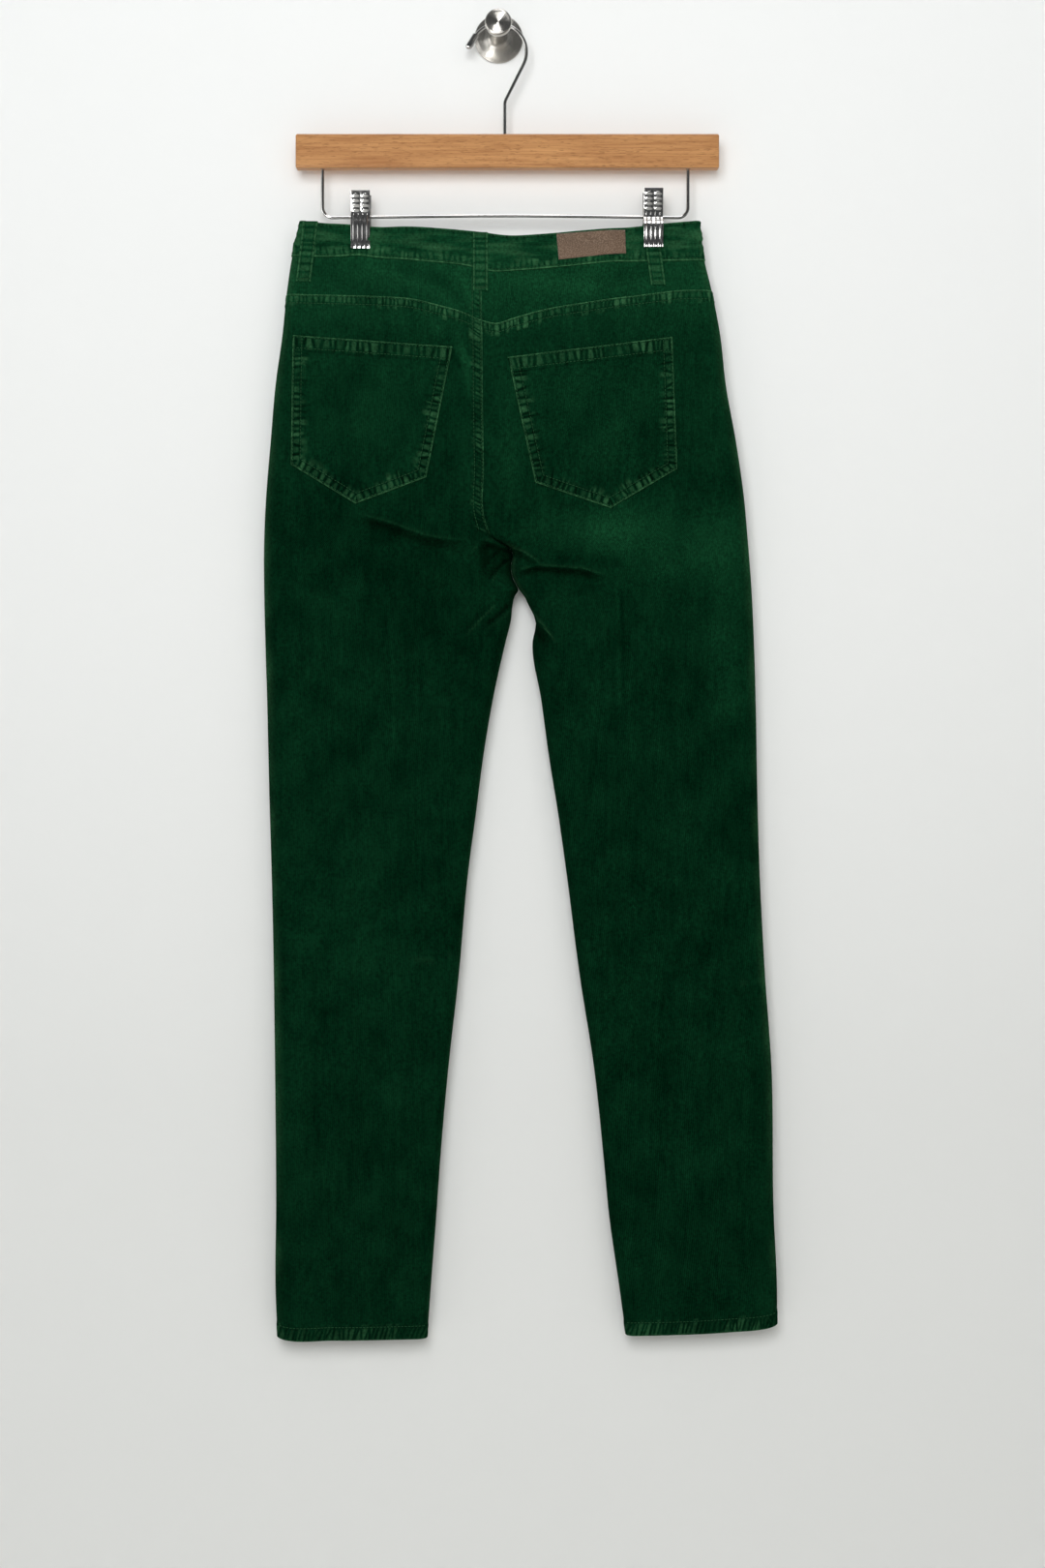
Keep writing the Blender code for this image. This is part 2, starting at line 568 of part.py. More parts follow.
def make_label():
    """Plain patch sewn on the back of the waistband."""
    top_left, top_right, bottom_right, bottom_left = [np.array(corner) for corner in LABEL]
    across = np.linspace(0, 1, 7)[None, :, None]
    down = np.linspace(0, 1, 3)[:, None, None]
    top = top_left + (top_right - top_left) * across
    bottom = bottom_left + (bottom_right - bottom_left) * across
    places = top + (bottom - top) * down
    cloth("label_patch", places[..., 0], places[..., 1], "back", LABEL_WALL,
          BAND_RAISE + LAY_GAP + LABEL_WALL, "brown_patch")


def make_button():
    """Metal button of the waistband, beside the end of its left stretch."""
    x = float(CENTRE["front_middle"](205.0)) - BUTTON_FROM_EDGE
    drop = float(front_waist_top(x) + front_waist_seam(x)) / 2
    face = float(depth(np.array(x), np.array(drop), "front")) + BAND_RAISE + SEAM_GAP
    profile = [(from_face - BUTTON_HEIGHT, BUTTON_RADIUS - inset) for from_face, inset in BUTTON_DOME]
    profile += [(BUTTON_PLATE - BUTTON_HEIGHT, BUTTON_SHANK), (0, BUTTON_SHANK)]
    revolve("waist_button", profile, (x, HANG_PLANE + face, -drop), "turned_steel", 24)


# ---------------------------------------------------------------- hanger and wall knob

def make_bar():
    """Wooden bar with rounded edges."""
    size = (BAR_RIGHT - BAR_LEFT, BAR_DEPTH, BAR_HEIGHT)
    centre = ((BAR_LEFT + BAR_RIGHT) / 2, HANG_PLANE, -(BAR_TOP + BAR_HEIGHT / 2))
    mesh = bpy.data.meshes.new("hanger_bar")
    shape = bmesh.new()
    bmesh.ops.create_cube(shape, size=1.0)
    bmesh.ops.scale(shape, vec=[length * MM for length in size], verts=shape.verts)
    bmesh.ops.translate(shape, vec=[place * MM for place in centre], verts=shape.verts)
    shape.to_mesh(mesh)
    shape.free()
    mesh.materials.append(finish("beech"))
    item = bpy.data.objects.new("hanger_bar", mesh)
    bpy.context.scene.collection.objects.link(item)
    rounded = item.modifiers.new("rounded_edges", "BEVEL")
    rounded.width = BAR_ROUNDING * MM
    rounded.segments = 3


def make_hook():
    """Hook wire: an arc over the knob's stem, a slanted shank, and a straight drop into the bar."""
    angles = np.linspace(math.radians(HOOK_TIP_ANGLE), math.atan2(*HOOK_LEAN), 25)
    arc = np.stack([HOOK_RADIUS * np.cos(angles), HOOK_CENTRE_DROP - HOOK_RADIUS * np.sin(angles)], 1)
    leave = arc[-1]
    lean = np.array(HOOK_LEAN)
    corner = leave + lean * (HOOK_SHANK_X - leave[0]) / lean[0]
    foot = (HOOK_SHANK_X, BAR_TOP - SEAM_GAP)
    shank = rounded_path([leave, corner, foot], [HOOK_BEND_RADIUS])
    wire("hook_wire", np.concatenate([arc, shank[1:]]), "bright_steel")
    tip, before = arc[0], arc[1]
    along = (tip - before) / np.linalg.norm(tip - before)
    cap = np.array([tip + along * s for s in (SEAM_GAP, TIP_LENGTH)])
    wire("hook_tip", cap, "bright_steel", TIP_RADIUS, 16)


def make_trouser_wire():
    """Wire bail under the bar that carries the clips."""
    foot = BAR_TOP + BAR_HEIGHT + SEAM_GAP
    middle = ((WIRE_LEFT + WIRE_RIGHT) / 2, WIRE_DROP - WIRE_ARCH)
    corners = [(WIRE_LEFT, foot), (WIRE_LEFT, WIRE_DROP), middle, (WIRE_RIGHT, WIRE_DROP), (WIRE_RIGHT, foot)]
    bends = [WIRE_BEND_RADIUS, WIRE_ARCH_RADIUS, WIRE_BEND_RADIUS]
    wire("trouser_wire", rounded_path(corners, bends), "bright_steel")


def make_jaw(name, clip_x, profile, out):
    """Sheet jaw: a bent profile (offset from the hanging plane, drop) carried across the clip's width."""
    offsets, drops = np.array(profile, float).T
    x = np.broadcast_to(clip_x + CLIP_WIDTH * np.linspace(-0.5, 0.5, 5), (len(drops), 5))
    drop = np.broadcast_to(drops[:, None], x.shape)
    near = np.broadcast_to(offsets[:, None], x.shape)
    inner = np.stack([x, HANG_PLANE + out * near, -drop], -1)
    outer = inner + np.array([0, out * CLIP_WALL, 0])
    if out > 0:
        outer, inner = outer[:, ::-1], inner[:, ::-1]
    wall_between(name, outer, inner, "bright_steel")


def make_clips():
    """Two spring clips: a barrel round the trouser wire, and a jaw on each face of the waistband."""
    pivot = CLIP_BARREL_RADIUS + SEAM_GAP
    half = CLIP_WIDTH / 2 - BARREL_INSET
    angles = np.linspace(0, 2 * math.pi, BARREL_SIDES, endpoint=False)
    corners = [(WIRE_RADIUS + SEAM_GAP, -half), (CLIP_BARREL_RADIUS, -half),
               (CLIP_BARREL_RADIUS, half), (WIRE_RADIUS + SEAM_GAP, half)]
    for side, x, top, lip, back_grip in CLIPS:
        for face, grip, out in (("front", back_grip, -1), ("wall", WALL_SIDE_GRIP, 1)):
            profile = [(pivot + JAW_TOP_FLARE, top), (pivot + JAW_NECK_FLARE, top + JAW_NECK_DROP),
                       (pivot, WIRE_DROP - CLIP_BARREL_RADIUS), (pivot, WIRE_DROP + 1),
                       (grip, WIRE_DROP + 5), (grip, lip - JAW_LIP_HEIGHT),
                       (grip + JAW_LIP_FLARE / 3, lip - JAW_LIP_HEIGHT / 2), (grip + JAW_LIP_FLARE, lip)]
            make_jaw(f"clip_{side}_{face}_jaw", x, profile, out)
        rings = [np.stack([np.full(BARREL_SIDES, x + along), HANG_PLANE + radius * np.cos(angles),
                           -wire_height(x) + radius * np.sin(angles)], -1) for radius, along in corners]
        number = np.arange(4 * BARREL_SIDES).reshape(4, BARREL_SIDES)
        faces = []
        for near, far in zip(number, np.roll(number, -1, axis=0)):
            faces += np.stack([near, np.roll(near, -1), np.roll(far, -1), far], -1).tolist()
        add_object(f"clip_{side}_barrel", np.concatenate(rings), faces, "bright_steel")


def wire_height(x):
    """Drop of the trouser wire's centre line where a clip sits on it."""
    middle = (WIRE_LEFT + WIRE_RIGHT) / 2
    return WIRE_DROP - WIRE_ARCH * (1 - abs(x - middle) / (middle - WIRE_LEFT))


def make_knob():
    """Turned knob: a round plate against the wall, a flared stem and a disc that keeps the hook on."""
    revolve("wall_knob", KNOB_PROFILE, (0, 0, 0), "turned_steel")


def main():
    for item in list(bpy.data.objects):
        bpy.data.objects.remove(item)
    for side in ("left", "right"):
        make_back(side)
    make_front("left")
    make_coin_pocket(*make_front("right"))
    make_fly()
    make_waistband()
    make_belt_loops()
    make_back_pockets()
    make_label()
    make_button()
    make_bar()
    make_hook()
    make_trouser_wire()
    make_clips()
    make_knob()


main()
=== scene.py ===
# %% [markdown]
# # Five-pocket corduroy jeans on a clip hanger
#
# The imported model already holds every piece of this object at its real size: the cut panels of the jeans,
# the wooden hanger with its wire and clips, and the turned knob on the wall. This script gives each piece the
# surface that the eye meets: folds, puckered seams, stitching, nap, wood grain and turned metal.
# It is a lesson in cells. Each text cell says what a piece is on the real object and how it can be made,
# and each code cell that follows makes it.

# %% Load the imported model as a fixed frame
import math

import bpy
import numpy as np
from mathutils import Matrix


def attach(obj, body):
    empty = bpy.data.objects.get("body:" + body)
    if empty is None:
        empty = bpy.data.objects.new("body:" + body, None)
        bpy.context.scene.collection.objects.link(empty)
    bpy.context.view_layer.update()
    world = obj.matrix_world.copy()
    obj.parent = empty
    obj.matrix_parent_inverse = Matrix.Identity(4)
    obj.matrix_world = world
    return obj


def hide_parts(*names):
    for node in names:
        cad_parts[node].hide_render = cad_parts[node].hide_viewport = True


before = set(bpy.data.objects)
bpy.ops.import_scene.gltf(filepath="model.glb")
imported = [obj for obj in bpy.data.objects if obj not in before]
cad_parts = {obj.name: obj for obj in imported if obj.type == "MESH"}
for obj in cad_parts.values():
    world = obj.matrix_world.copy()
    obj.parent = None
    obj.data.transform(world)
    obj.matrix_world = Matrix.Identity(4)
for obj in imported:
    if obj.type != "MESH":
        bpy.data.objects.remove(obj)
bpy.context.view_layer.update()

# %% [markdown]
# ## The hanging cloth as one surface
#
# Jeans that hang by the waistband are two flattened tubes. A tailor would describe them by a few level
# sections: where the left and the right edge are, how far the back and the front stand off the middle plane,
# and how wide the rounded fold at the side is. The tables below are those sections, in millimetres. A "drop"
# is a distance down from the knob's axis. Left and right are the wearer's, and the back shows, so they are
# also the viewer's.

# %% Sections of the garment
MM = 0.001
HANG_PLANE = -20.0          # y of the plane in which hook, bar and waistband hang
SEAM_GAP = 0.3              # clearance between neighbouring pieces
CLOTH_WALL, BAND_WALL, POCKET_WALL, LOOP_WALL, LABEL_WALL = 1.6, 2.6, 1.4, 1.8, 0.8
BAND_RAISE = 0.8            # how far the waistband stands proud of the yoke
LAY_GAP = 0.6               # clearance under a piece that lies on another

SECTION_COLUMNS = ("drop", "left_edge", "right_edge", "back_depth", "front_depth", "fold")
SECTIONS = [
    (167, -176.5, 179.5, 11.0, 9.0, 5.0),
    (200, -184.0, 183.0, 12.0, 9.5, 6.0),
    (230, -188.5, 190.0, 13.0, 10.0, 7.5),
    (269, -192.5, 197.5, 15.0, 11.0, 9.0),
    (317, -199.0, 203.0, 17.0, 11.5, 10.0),
    (364, -203.0, 211.5, 18.0, 12.0, 11.0),
    (412, -207.0, 218.5, 18.5, 12.0, 11.5),
    (455, -209.0, 222.5, 17.0, 12.0, 12.0),
    (502, -209.0, 226.0, 13.5, 11.5, 12.0),
    (545, -208.0, 228.0, 12.0, 11.0, 12.0),
    (596, -206.5, 229.5, 11.5, 10.5, 12.0),
    (680, -204.5, 231.0, 10.5, 10.0, 11.0),
    (748, -202.5, 233.0, 10.0, 9.5, 11.0),
    (843, -200.5, 238.0, 9.5, 9.0, 10.0),
    (921, -199.5, 243.5, 9.0, 8.5, 10.0),
    (1051, -198.5, 245.5, 8.5, 8.0, 9.0),
    (1120, -199.0, 248.5, 8.0, 7.5, 9.0),
    (1168, -197.0, 248.5, 8.0, 7.5, 8.0),
]
MIDDLE_COLUMNS = ("drop", "back_middle", "front_middle", "gap")
MIDDLE = [
    (167, -16.5, 14.0, 0),
    (257, -14.6, 13.0, 0),
    (388, -12.9, 8.0, 0),
    (440, -11.0, -1.0, 0),
    (448, -8.0, 2.0, 0),
    (453, -4.0, 5.0, 0),
    (457, 3.5, 8.0, 0),
    (461, 10.5, 10.5, 0),
    (465, 12.8, 12.8, 0),
    (474, 11.5, 11.5, 0),
    (484, 11.8, 11.8, 0),
    (492, 15.0, 15.0, 0),
    (498, 18.3, 18.3, 1),
    (503, 18.6, 18.6, 8),
    (512, 19.8, 19.8, 14.5),
    (524, 22.0, 22.0, 21.5),
    (545, 18.2, 18.2, 24),
    (596, 16.5, 16.5, 43),
    (642, 15.7, 15.7, 57),
    (697, 16.5, 16.5, 73),
    (748, 16.7, 16.7, 87),
    (843, 18.5, 18.5, 108),
    (921, 20.2, 20.2, 129),
    (1008, 21.0, 21.0, 146),
    (1051, 21.5, 21.5, 153),
    (1120, 23.7, 23.7, 168),
    (1168, 25.2, 25.2, 178),
]
CURL_START, CURL_END = 425.0, 459.0     # between these drops the seat seam curls under to the crotch


def smooth(points):
    """Function of x through (x, value) points: cubic Hermite pieces, level beyond both ends."""
    xs, values = np.array(points, float).T
    slopes = np.gradient(values, xs)

    def at(x):
        x = np.clip(x, xs[0], xs[-1])
        i = np.clip(np.searchsorted(xs, x) - 1, 0, len(xs) - 2)
        span = xs[i + 1] - xs[i]
        t = (x - xs[i]) / span
        return ((1 + 2 * t) * (1 - t) ** 2 * values[i] + t * (1 - t) ** 2 * span * slopes[i]
                + t * t * (3 - 2 * t) * values[i + 1] + t * t * (t - 1) * span * slopes[i + 1])
    return at


def table_curves(columns, rows):
    """One smooth function of the first column for each of the other named columns."""
    return {name: smooth([(row[0], row[k]) for row in rows]) for k, name in enumerate(columns) if k}


SECTION = table_curves(SECTION_COLUMNS, SECTIONS)
CENTRE = table_curves(MIDDLE_COLUMNS, MIDDLE)
print("garment hangs from drop", SECTIONS[0][0], "to", SECTIONS[-1][0], "mm")

# %% [markdown]
# The seams that run across the garment are curves too, read from points (x, drop): the waistband's top and
# bottom edge, the yoke's V and the hems. Folds come in two kinds. A roll or hollow is a bell round a straight
# line. A crease, where cloth laps over itself, has a roll on one side of its line and a trough on the other,
# and both die away at its ends. The same function also paints the crease into the colour: a pale line along
# the roll, partly rubbed pile and partly painted highlight, and painted shade in the trough.

# %% Seams, folds and creases
BACK_WAIST_TOP = smooth([(-176, 169), (-159, 171), (-132, 172.5), (-114, 174.3), (-65, 176.5), (-16, 180.8),
                         (8, 183.8), (39, 182.5), (73, 179.5), (107, 176.5), (146, 171.7), (179, 169)])
BACK_WAIST_SEAM = smooth([(-184, 201), (-159, 201.8), (-142, 201.4), (-126, 200.4), (-107, 202.7),
                          (-73, 206.6), (-26, 211.7), (-7, 216), (21, 215.2), (69, 210.9), (107, 207),
                          (133, 205.7), (159, 205.3), (183, 204.9)])
YOKE_SEAM = smooth([(-188, 235.8), (-142, 236.6), (-99, 238.3), (-73, 241.3), (-54, 246.1), (-34, 251.6),
                    (-14, 260), (-3, 262.5), (13, 258.1), (33, 252.1), (86, 242.6), (135, 235.3),
                    (163, 232.1), (190, 232)])
FRONT_WAIST_TOP = smooth([(-177, 169), (-120, 178), (-50, 187), (14, 190), (70, 187), (130, 179), (180, 169)])
FRONT_WAIST_SEAM = smooth([(-184, 201), (-120, 211), (-50, 221), (14, 224), (70, 221.5), (130, 213),
                           (183, 204.9)])
HEM = smooth([(-198, 1163), (-190, 1165), (-148, 1165.5), (-63, 1164), (0, 1163), (112, 1161.5),
              (159, 1160.5), (206, 1158), (240, 1154.5), (249, 1152)])

# Columns: x0, drop0, x1, drop1, half_width, height.
BACK_FOLDS = [
    (30, 458, 118, 468, 13.0, 3.2),         # roll under the right of the seat
    (-92, 430, -34, 442, 11.0, 2.2),        # roll under the left of the seat
    (-38, 296, -20, 344, 5.0, -1.0),        # soft fold between left pocket and seat seam
    (-8, 322, 24, 396, 8.0, 0.9),
    (-52, 216, -30, 236, 7.0, -0.8),        # soft folds of the yoke
    (36, 222, 92, 229, 8.0, 0.7),
    (-150, 470, -120, 560, 16.0, 0.9),      # slack of the thighs
    (60, 500, 70, 590, 14.0, 0.9),
    (150, 470, 176, 560, 15.0, 0.8),
]
# The front can't be seen in the photograph. It gets folds of the same kind, fanning out from the crotch.
FRONT_FOLDS = [
    (-22, 424, -104, 396, 11.0, 1.6),
    (38, 426, 118, 400, 11.0, 1.5),
    (-150, 470, -118, 560, 16.0, 0.8),
    (66, 505, 72, 600, 14.0, 0.8),
    (150, 470, 178, 560, 15.0, 0.7),
]
# Columns: path of (x, drop), roll height and width above the line, trough depth and width below it, how
# pale the line is, as rubbed pile and painted highlight, and how dark the trough's painted shade is.
BACK_CREASES = [
    ([(12, 483.5), (34, 477.8), (51, 478.8), (74, 480.5), (88, 484.5), (104, 490)],
     2.0, 8.0, 4.4, 3.2, 0.06, 0.62),
    ([(4, 457.5), (14, 462.4), (23.4, 467), (31, 472.4), (39, 478.5)], 1.6, 5.0, 2.4, 3.0, 0.11, 0.45),
    ([(-127, 432), (-98, 439.5), (-64, 451.6), (-49, 454), (-18, 457)], 2.0, 9.0, 2.8, 5.0, 0.05, 0.55),
    ([(-24, 468), (-16, 459.5), (-7, 455.5), (2, 455.5)], 0.8, 4.0, 1.0, 3.0, 0.08, 0.30),
    ([(-2, 509), (-17, 524), (-33, 541)], 0.9, 2.4, 1.2, 2.2, 0.11, 0.26),
    ([(13.0, 511.0), (3.4, 521.6), (-14, 534)], 0.6, 3.0, 2.6, 3.0, 0.06, 0.70),
    ([(25.0, 513.0), (32.2, 522.3), (42.8, 536.2), (52.0, 549.0)], 0.7, 4.0, 3.0, 6.5, 0.16, 0.62),
    ([(11, 470.5), (2, 478.5), (-3, 484.7), (-9, 494)], 1.2, 2.0, 1.6, 2.4, 0.20, 0.45),
    ([(4, 463), (-6, 471), (-12, 480), (-14, 490)], 0.8, 2.0, 1.2, 2.0, 0.14, 0.35),
    ([(-38, 820), (-60, 826), (-84, 824)], 0.3, 5.0, 0.5, 3.0, 0.04, 0.08),
    ([(205, 846), (228, 852), (243, 851)], 0.3, 5.0, 0.7, 3.0, 0.05, 0.10),
]
FRONT_CREASES = [
    ([(-12, 446), (-44, 434), (-84, 431), (-118, 436)], 1.6, 7.0, 2.2, 4.0, 0.05, 0.40),
    ([(26, 448), (60, 437), (98, 435), (128, 441)], 1.5, 7.0, 2.2, 4.0, 0.05, 0.40),
    ([(-14, 462), (-40, 472), (-66, 490)], 1.0, 5.0, 1.5, 3.0, 0.06, 0.30),
    ([(30, 462), (58, 474), (80, 494)], 1.0, 5.0, 1.5, 3.0, 0.06, 0.30),
    ([(-46, 806), (-72, 812), (-96, 809)], 0.4, 5.0, 0.6, 3.0, 0.04, 0.10),
]
HOLLOW_DEPTH = 10.5                         # pit under the end of the seat seam, in the left half
CREASE_TAIL = 0.16                          # share of a crease's path over which it rises and dies away


def eased(value, start, end):
    """0 before start, 1 after end, and a smooth step between."""
    t = np.clip((value - start) / (end - start), 0, 1)
    return t * t * (3 - 2 * t)


def line_distance(x, drop, start, end):
    """Distance from a straight line's nearest point, the share along it, and which side (+1 is below)."""
    along = np.subtract(end, start)
    t = np.clip(((x - start[0]) * along[0] + (drop - start[1]) * along[1]) / (along @ along), 0, 1)
    off_x, off_drop = x - start[0] - t * along[0], drop - start[1] - t * along[1]
    return np.hypot(off_x, off_drop), t, np.sign(along[0] * off_drop - along[1] * off_x)


def bells(x, drop, rows):
    """Sum of bells: height times exp(-(distance / half width) squared), one for each straight line."""
    total = np.zeros(np.broadcast(x, drop).shape)
    for x0, drop0, x1, drop1, half_width, height in rows:
        distance, _, _ = line_distance(x, drop, (x0, drop0), (x1, drop1))
        total += height * np.exp(-(distance / half_width) ** 2)
    return total


def creases(x, drop, rows):
    """Height and tone: a roll falls away above each line, its edge pale as rubbed pile and painted highlight,
    and just below it a trough darkened as painted shade.
    """
    total, wear_and_light_tone = np.zeros(np.broadcast(x, drop).shape), np.zeros(np.broadcast(x, drop).shape)
    for path, roll, roll_width, trough, trough_width, pale, dark in rows:
        nearest = np.full(total.shape, 1e9)
        share, side = np.zeros(total.shape), np.ones(total.shape)
        lengths = np.concatenate([[0], np.cumsum(np.hypot(*np.diff(np.array(path, float), axis=0).T))])
        for start, end, before, after in zip(path, path[1:], lengths, lengths[1:]):
            distance, t, which = line_distance(x, drop, start, end)
            closer = distance < nearest
            nearest = np.where(closer, distance, nearest)
            share = np.where(closer, (before + t * (after - before)) / lengths[-1], share)
            side = np.where(closer, which, side)
        above = roll * np.exp(-(nearest / roll_width) ** 2)
        below = ((roll + trough) * np.exp(-(nearest / (0.4 * trough_width)) ** 2)
                 - trough * np.exp(-(nearest / (1.6 * trough_width)) ** 2))
        strength = eased(share, 0, CREASE_TAIL) * (1 - eased(share, 1 - 2 * CREASE_TAIL, 1))
        total += strength * np.where(side < 0, above, below)
        # The roll's pale line is rubbed pile and painted highlight; the trough's darkening is painted shade.
        line = np.exp(-((nearest - 0.8) / 1.5) ** 2)
        wear_and_light_tone += strength * np.where(side < 0, pale * line,
                                   -dark * np.exp(-((nearest / trough_width - 0.9) / 0.75) ** 2))
    return total, wear_and_light_tone


def crotch_hollow(x, drop):
    """Share, 0 to 1, of the pit beside the seam's end: steep at its lip and left, then running out."""
    lip = 455.5 + 0.28 * (x + 12)
    return eased(drop, lip, lip + 3.5) * eased(x, -17, -10) * (1 - eased(drop, 470, 494))


print("folds and creases, back:", len(BACK_FOLDS), len(BACK_CREASES),
      "front:", len(FRONT_FOLDS), len(FRONT_CREASES))

# %% [markdown]
# Worn cloth is never quite flat. A sum of sine waves in seeded directions gives slow unevenness at any size.
# Along a seam, washing has shrunk the thread more than the cloth, so the cloth puckers: rounded ridges 2 to
# 8 mm wide stand side by side, with narrow furrows between them. Each furrow gets its own place, slant,
# reach and depth from a seeded generator, so no two are alike and every run gives the same ones.

# %% Slow waves and seam puckers
PUCKER_COUNT, PUCKER_START = 150, 230.0


def waves(x, drop, size, seed, stretch=1.0):
    """Eight sine waves about size mm long in seeded directions, stretched along x."""
    seeded = np.random.default_rng(seed)
    total = 0.0
    for _ in range(8):
        turn, start = seeded.uniform(0, math.pi), seeded.uniform(0, 2 * math.pi)
        length = size * seeded.uniform(0.7, 1.6)
        total = total + np.sin(2 * math.pi * (x / stretch * math.cos(turn) + drop * math.sin(turn)) / length
                               + start)
    return total / 4


def puckers(along, distance, width, spacing, seed, slant=0.0):
    """Depth of the furrows across a seam, and how pale each ridge between them is, both 0 to 1.

    A ridge's paleness is rubbed pile and a painted highlight, brightest on its crest.
    """
    seeded = np.random.default_rng(seed)
    place = np.cumsum(spacing * seeded.uniform(0.5, 1.5, PUCKER_COUNT)) - PUCKER_START
    lean, deep = seeded.normal(slant, 0.16, PUCKER_COUNT), seeded.uniform(0.3, 1.0, PUCKER_COUNT)
    first = seeded.uniform(0.0, 2.2, PUCKER_COUNT)
    last = width * seeded.uniform(0.9, 1.8, PUCKER_COUNT)
    amounts, reach = seeded.uniform((0.25, 0.85 * width), (1.0, 1.5 * width), (PUCKER_COUNT + 1, 2)).T
    across = distance - width / 2
    off = along[..., None] - place - lean * across[..., None]
    there = eased(distance[..., None], first, first + 1.0) * (1 - eased(distance[..., None], 0.5 * last, last))
    furrow = (deep * there * np.exp(-(off / (0.17 * spacing)) ** 2)).max(axis=-1)
    ends = np.concatenate([[place[0] - spacing], place, [place[-1] + spacing]])
    straight = along - slant * across
    ridge = np.searchsorted(place, straight)
    share = np.clip((straight - ends[ridge]) / (ends[ridge + 1] - ends[ridge]), 0, 1)
    fading = 1 - eased(distance, reach[ridge] - 6.5, reach[ridge])
    return furrow, amounts[ridge] * np.sqrt(4 * share * (1 - share)) * fading


# Columns: x0, drop0, x1, drop1, half width, amount: paler (or darker, if < 0) round a line. Some streaks are
# pile brushed another way; others are painted highlight and painted shade by folds and rolls, such as the
# broad highlight on the right hip and the dark line under the roll of the seat.
NAP_AND_LIGHT_STREAKS = [
    (96, 452, 208, 458, 32.0, 0.26),
    (36, 446, 112, 448, 14.0, 0.20),
    (54, 471, 104, 474, 6.0, -0.14),
    (198, 470, 202, 600, 18.0, 0.16),
    (4, 300, 10, 400, 13.0, 0.10),
    (-36, 272, -22, 326, 5.0, 0.20),
    (-57, 262, -28, 298, 4.0, 0.16),
    (-46, 272, -34, 300, 3.0, -0.12),
    (-30, 340, -26, 420, 7.0, 0.07),
    (-56, 218, -34, 240, 6.0, -0.16),
    (-34, 216, -22, 246, 5.0, 0.16),
    (14, 224, 84, 230, 8.0, 0.16),
    (90, 222, 128, 214, 5.0, -0.14),
    (-166, 210, -128, 226, 9.0, -0.10),
    (-112, 211, -40, 238, 7.0, 0.15),
    (-84, 214, -50, 226, 6.0, -0.14),
    (-120, 232, -84, 236, 5.0, -0.08),
    (-170, 466, -64, 474, 20.0, -0.07),
    (-56, 500, -14, 560, 28.0, -0.06),
    (34, 500, 42, 560, 14.0, -0.05),
    (-112, 330, -96, 350, 26.0, 0.07),
    (-70, 352, -66, 390, 16.0, -0.06),
    (80, 330, 100, 372, 26.0, 0.06),
    (105, 495, 107, 594, 1.6, 0.10),
    (109, 495, 111, 594, 1.6, -0.08),
    (-95, 520, -93, 628, 1.6, 0.08),
    (42, 780, 46, 990, 14.0, 0.08),
    (-130, 740, -104, 860, 34.0, 0.05),
    (-178, 600, -176, 1100, 10.0, 0.05),
]


def nap(x, drop):
    """How pale the pile looks, 0 to 1: paler towards the waist, along placed streaks and in slow clouds.
    Some streaks are painted highlight and painted shade.
    """
    towards_waist = 0.12 + 0.10 * (1 - eased(drop, 300, 450)) + 0.30 * (1 - eased(drop, 218, 285))
    clouds = 0.045 * waves(x, drop, 42, 71) + 0.035 * waves(x, drop, 95, 72)
    return np.clip(towards_waist + clouds + bells(x, drop, NAP_AND_LIGHT_STREAKS), 0, 1)


# %% [markdown]
# Now the surface itself. Its distance from the hanging plane is the section's depth, pressed thin where a
# clip grips, plus folds, creases and slow waves, and all of it is rounded off to nothing at the side folds
# and at the inseams, where back and front meet. The direction that points out of the cloth comes from the
# slopes of that distance.

# %% Distance of the cloth from the hanging plane
# Columns: side, x, top, lip, and how far from the hanging plane the jaw on the garment's back grips.
CLIPS = [
    ("left", -122.9, 143.3, 194.6, 5.6),
    ("right", 137.9, 141.2, 193.7, 8.1),
]
CLIP_REACH, CLIP_OUTER_REACH, CLIP_FADE = 32.0, 75.0, (195.0, 285.0)
CLIP_SQUEEZE = 0.62


def rounding(distance, radius):
    """Quarter of an ellipse: 0 at a folded edge, 1 once the cloth lies flat."""
    return np.sqrt(np.maximum(0, 1 - (1 - np.clip(distance / radius, 0, 1)) ** 2))


def inner_edges(drop, face):
    """x where the left and the right leg end at the seat seam, or at the gap between the legs."""
    middle = CENTRE[face + "_middle"](drop)
    half = np.maximum(CENTRE["gap"](drop), 0) / 2 + SEAM_GAP / 2
    return middle - half, middle + half


def clip_squeeze(x, drop):
    """Share of the thickness that is left where the clips press the waist flat."""
    held = 0
    for _, clip_x, *_ in CLIPS:
        reach = np.where((x - clip_x) * np.sign(clip_x) > 0, CLIP_OUTER_REACH, CLIP_REACH)
        held = np.maximum(held, np.exp(-((x - clip_x) / reach) ** 4))
    return 1 - CLIP_SQUEEZE * held * (1 - eased(drop, *CLIP_FADE))


def depth(x, drop, face):
    """Distance of the cloth's outer face from the hanging plane."""
    left_inner, right_inner = inner_edges(drop, face)
    radius = SECTION["fold"](drop)
    to_side = np.minimum(x - SECTION["left_edge"](drop), SECTION["right_edge"](drop) - x)
    to_middle = np.maximum(left_inner - x, x - right_inner)
    t = np.clip((drop - CURL_START) / (CURL_END - CURL_START), 0, 1)
    curl = 1 - np.sqrt(1 - t * t)
    turned = 1 - curl * (1 - rounding(to_middle, radius))
    slack = 0.45 * waves(x, drop, 75, 3) + 0.18 * waves(x, drop, 24, 4)
    if face == "front":
        slack = slack + bells(x, drop, FRONT_FOLDS) + creases(x, drop, FRONT_CREASES)[0]
    else:
        slack = slack + bells(x, drop, BACK_FOLDS) + creases(x, drop, BACK_CREASES)[0]
        slack = slack - HOLLOW_DEPTH * crotch_hollow(x, drop) * (x < CENTRE["back_middle"](drop))
    flat = (SECTION[face + "_depth"](drop) + slack * eased(drop, 196, 225)) * clip_squeeze(x, drop)
    return SEAM_GAP / 2 + np.maximum(flat, 2.2) * rounding(to_side, radius) * turned


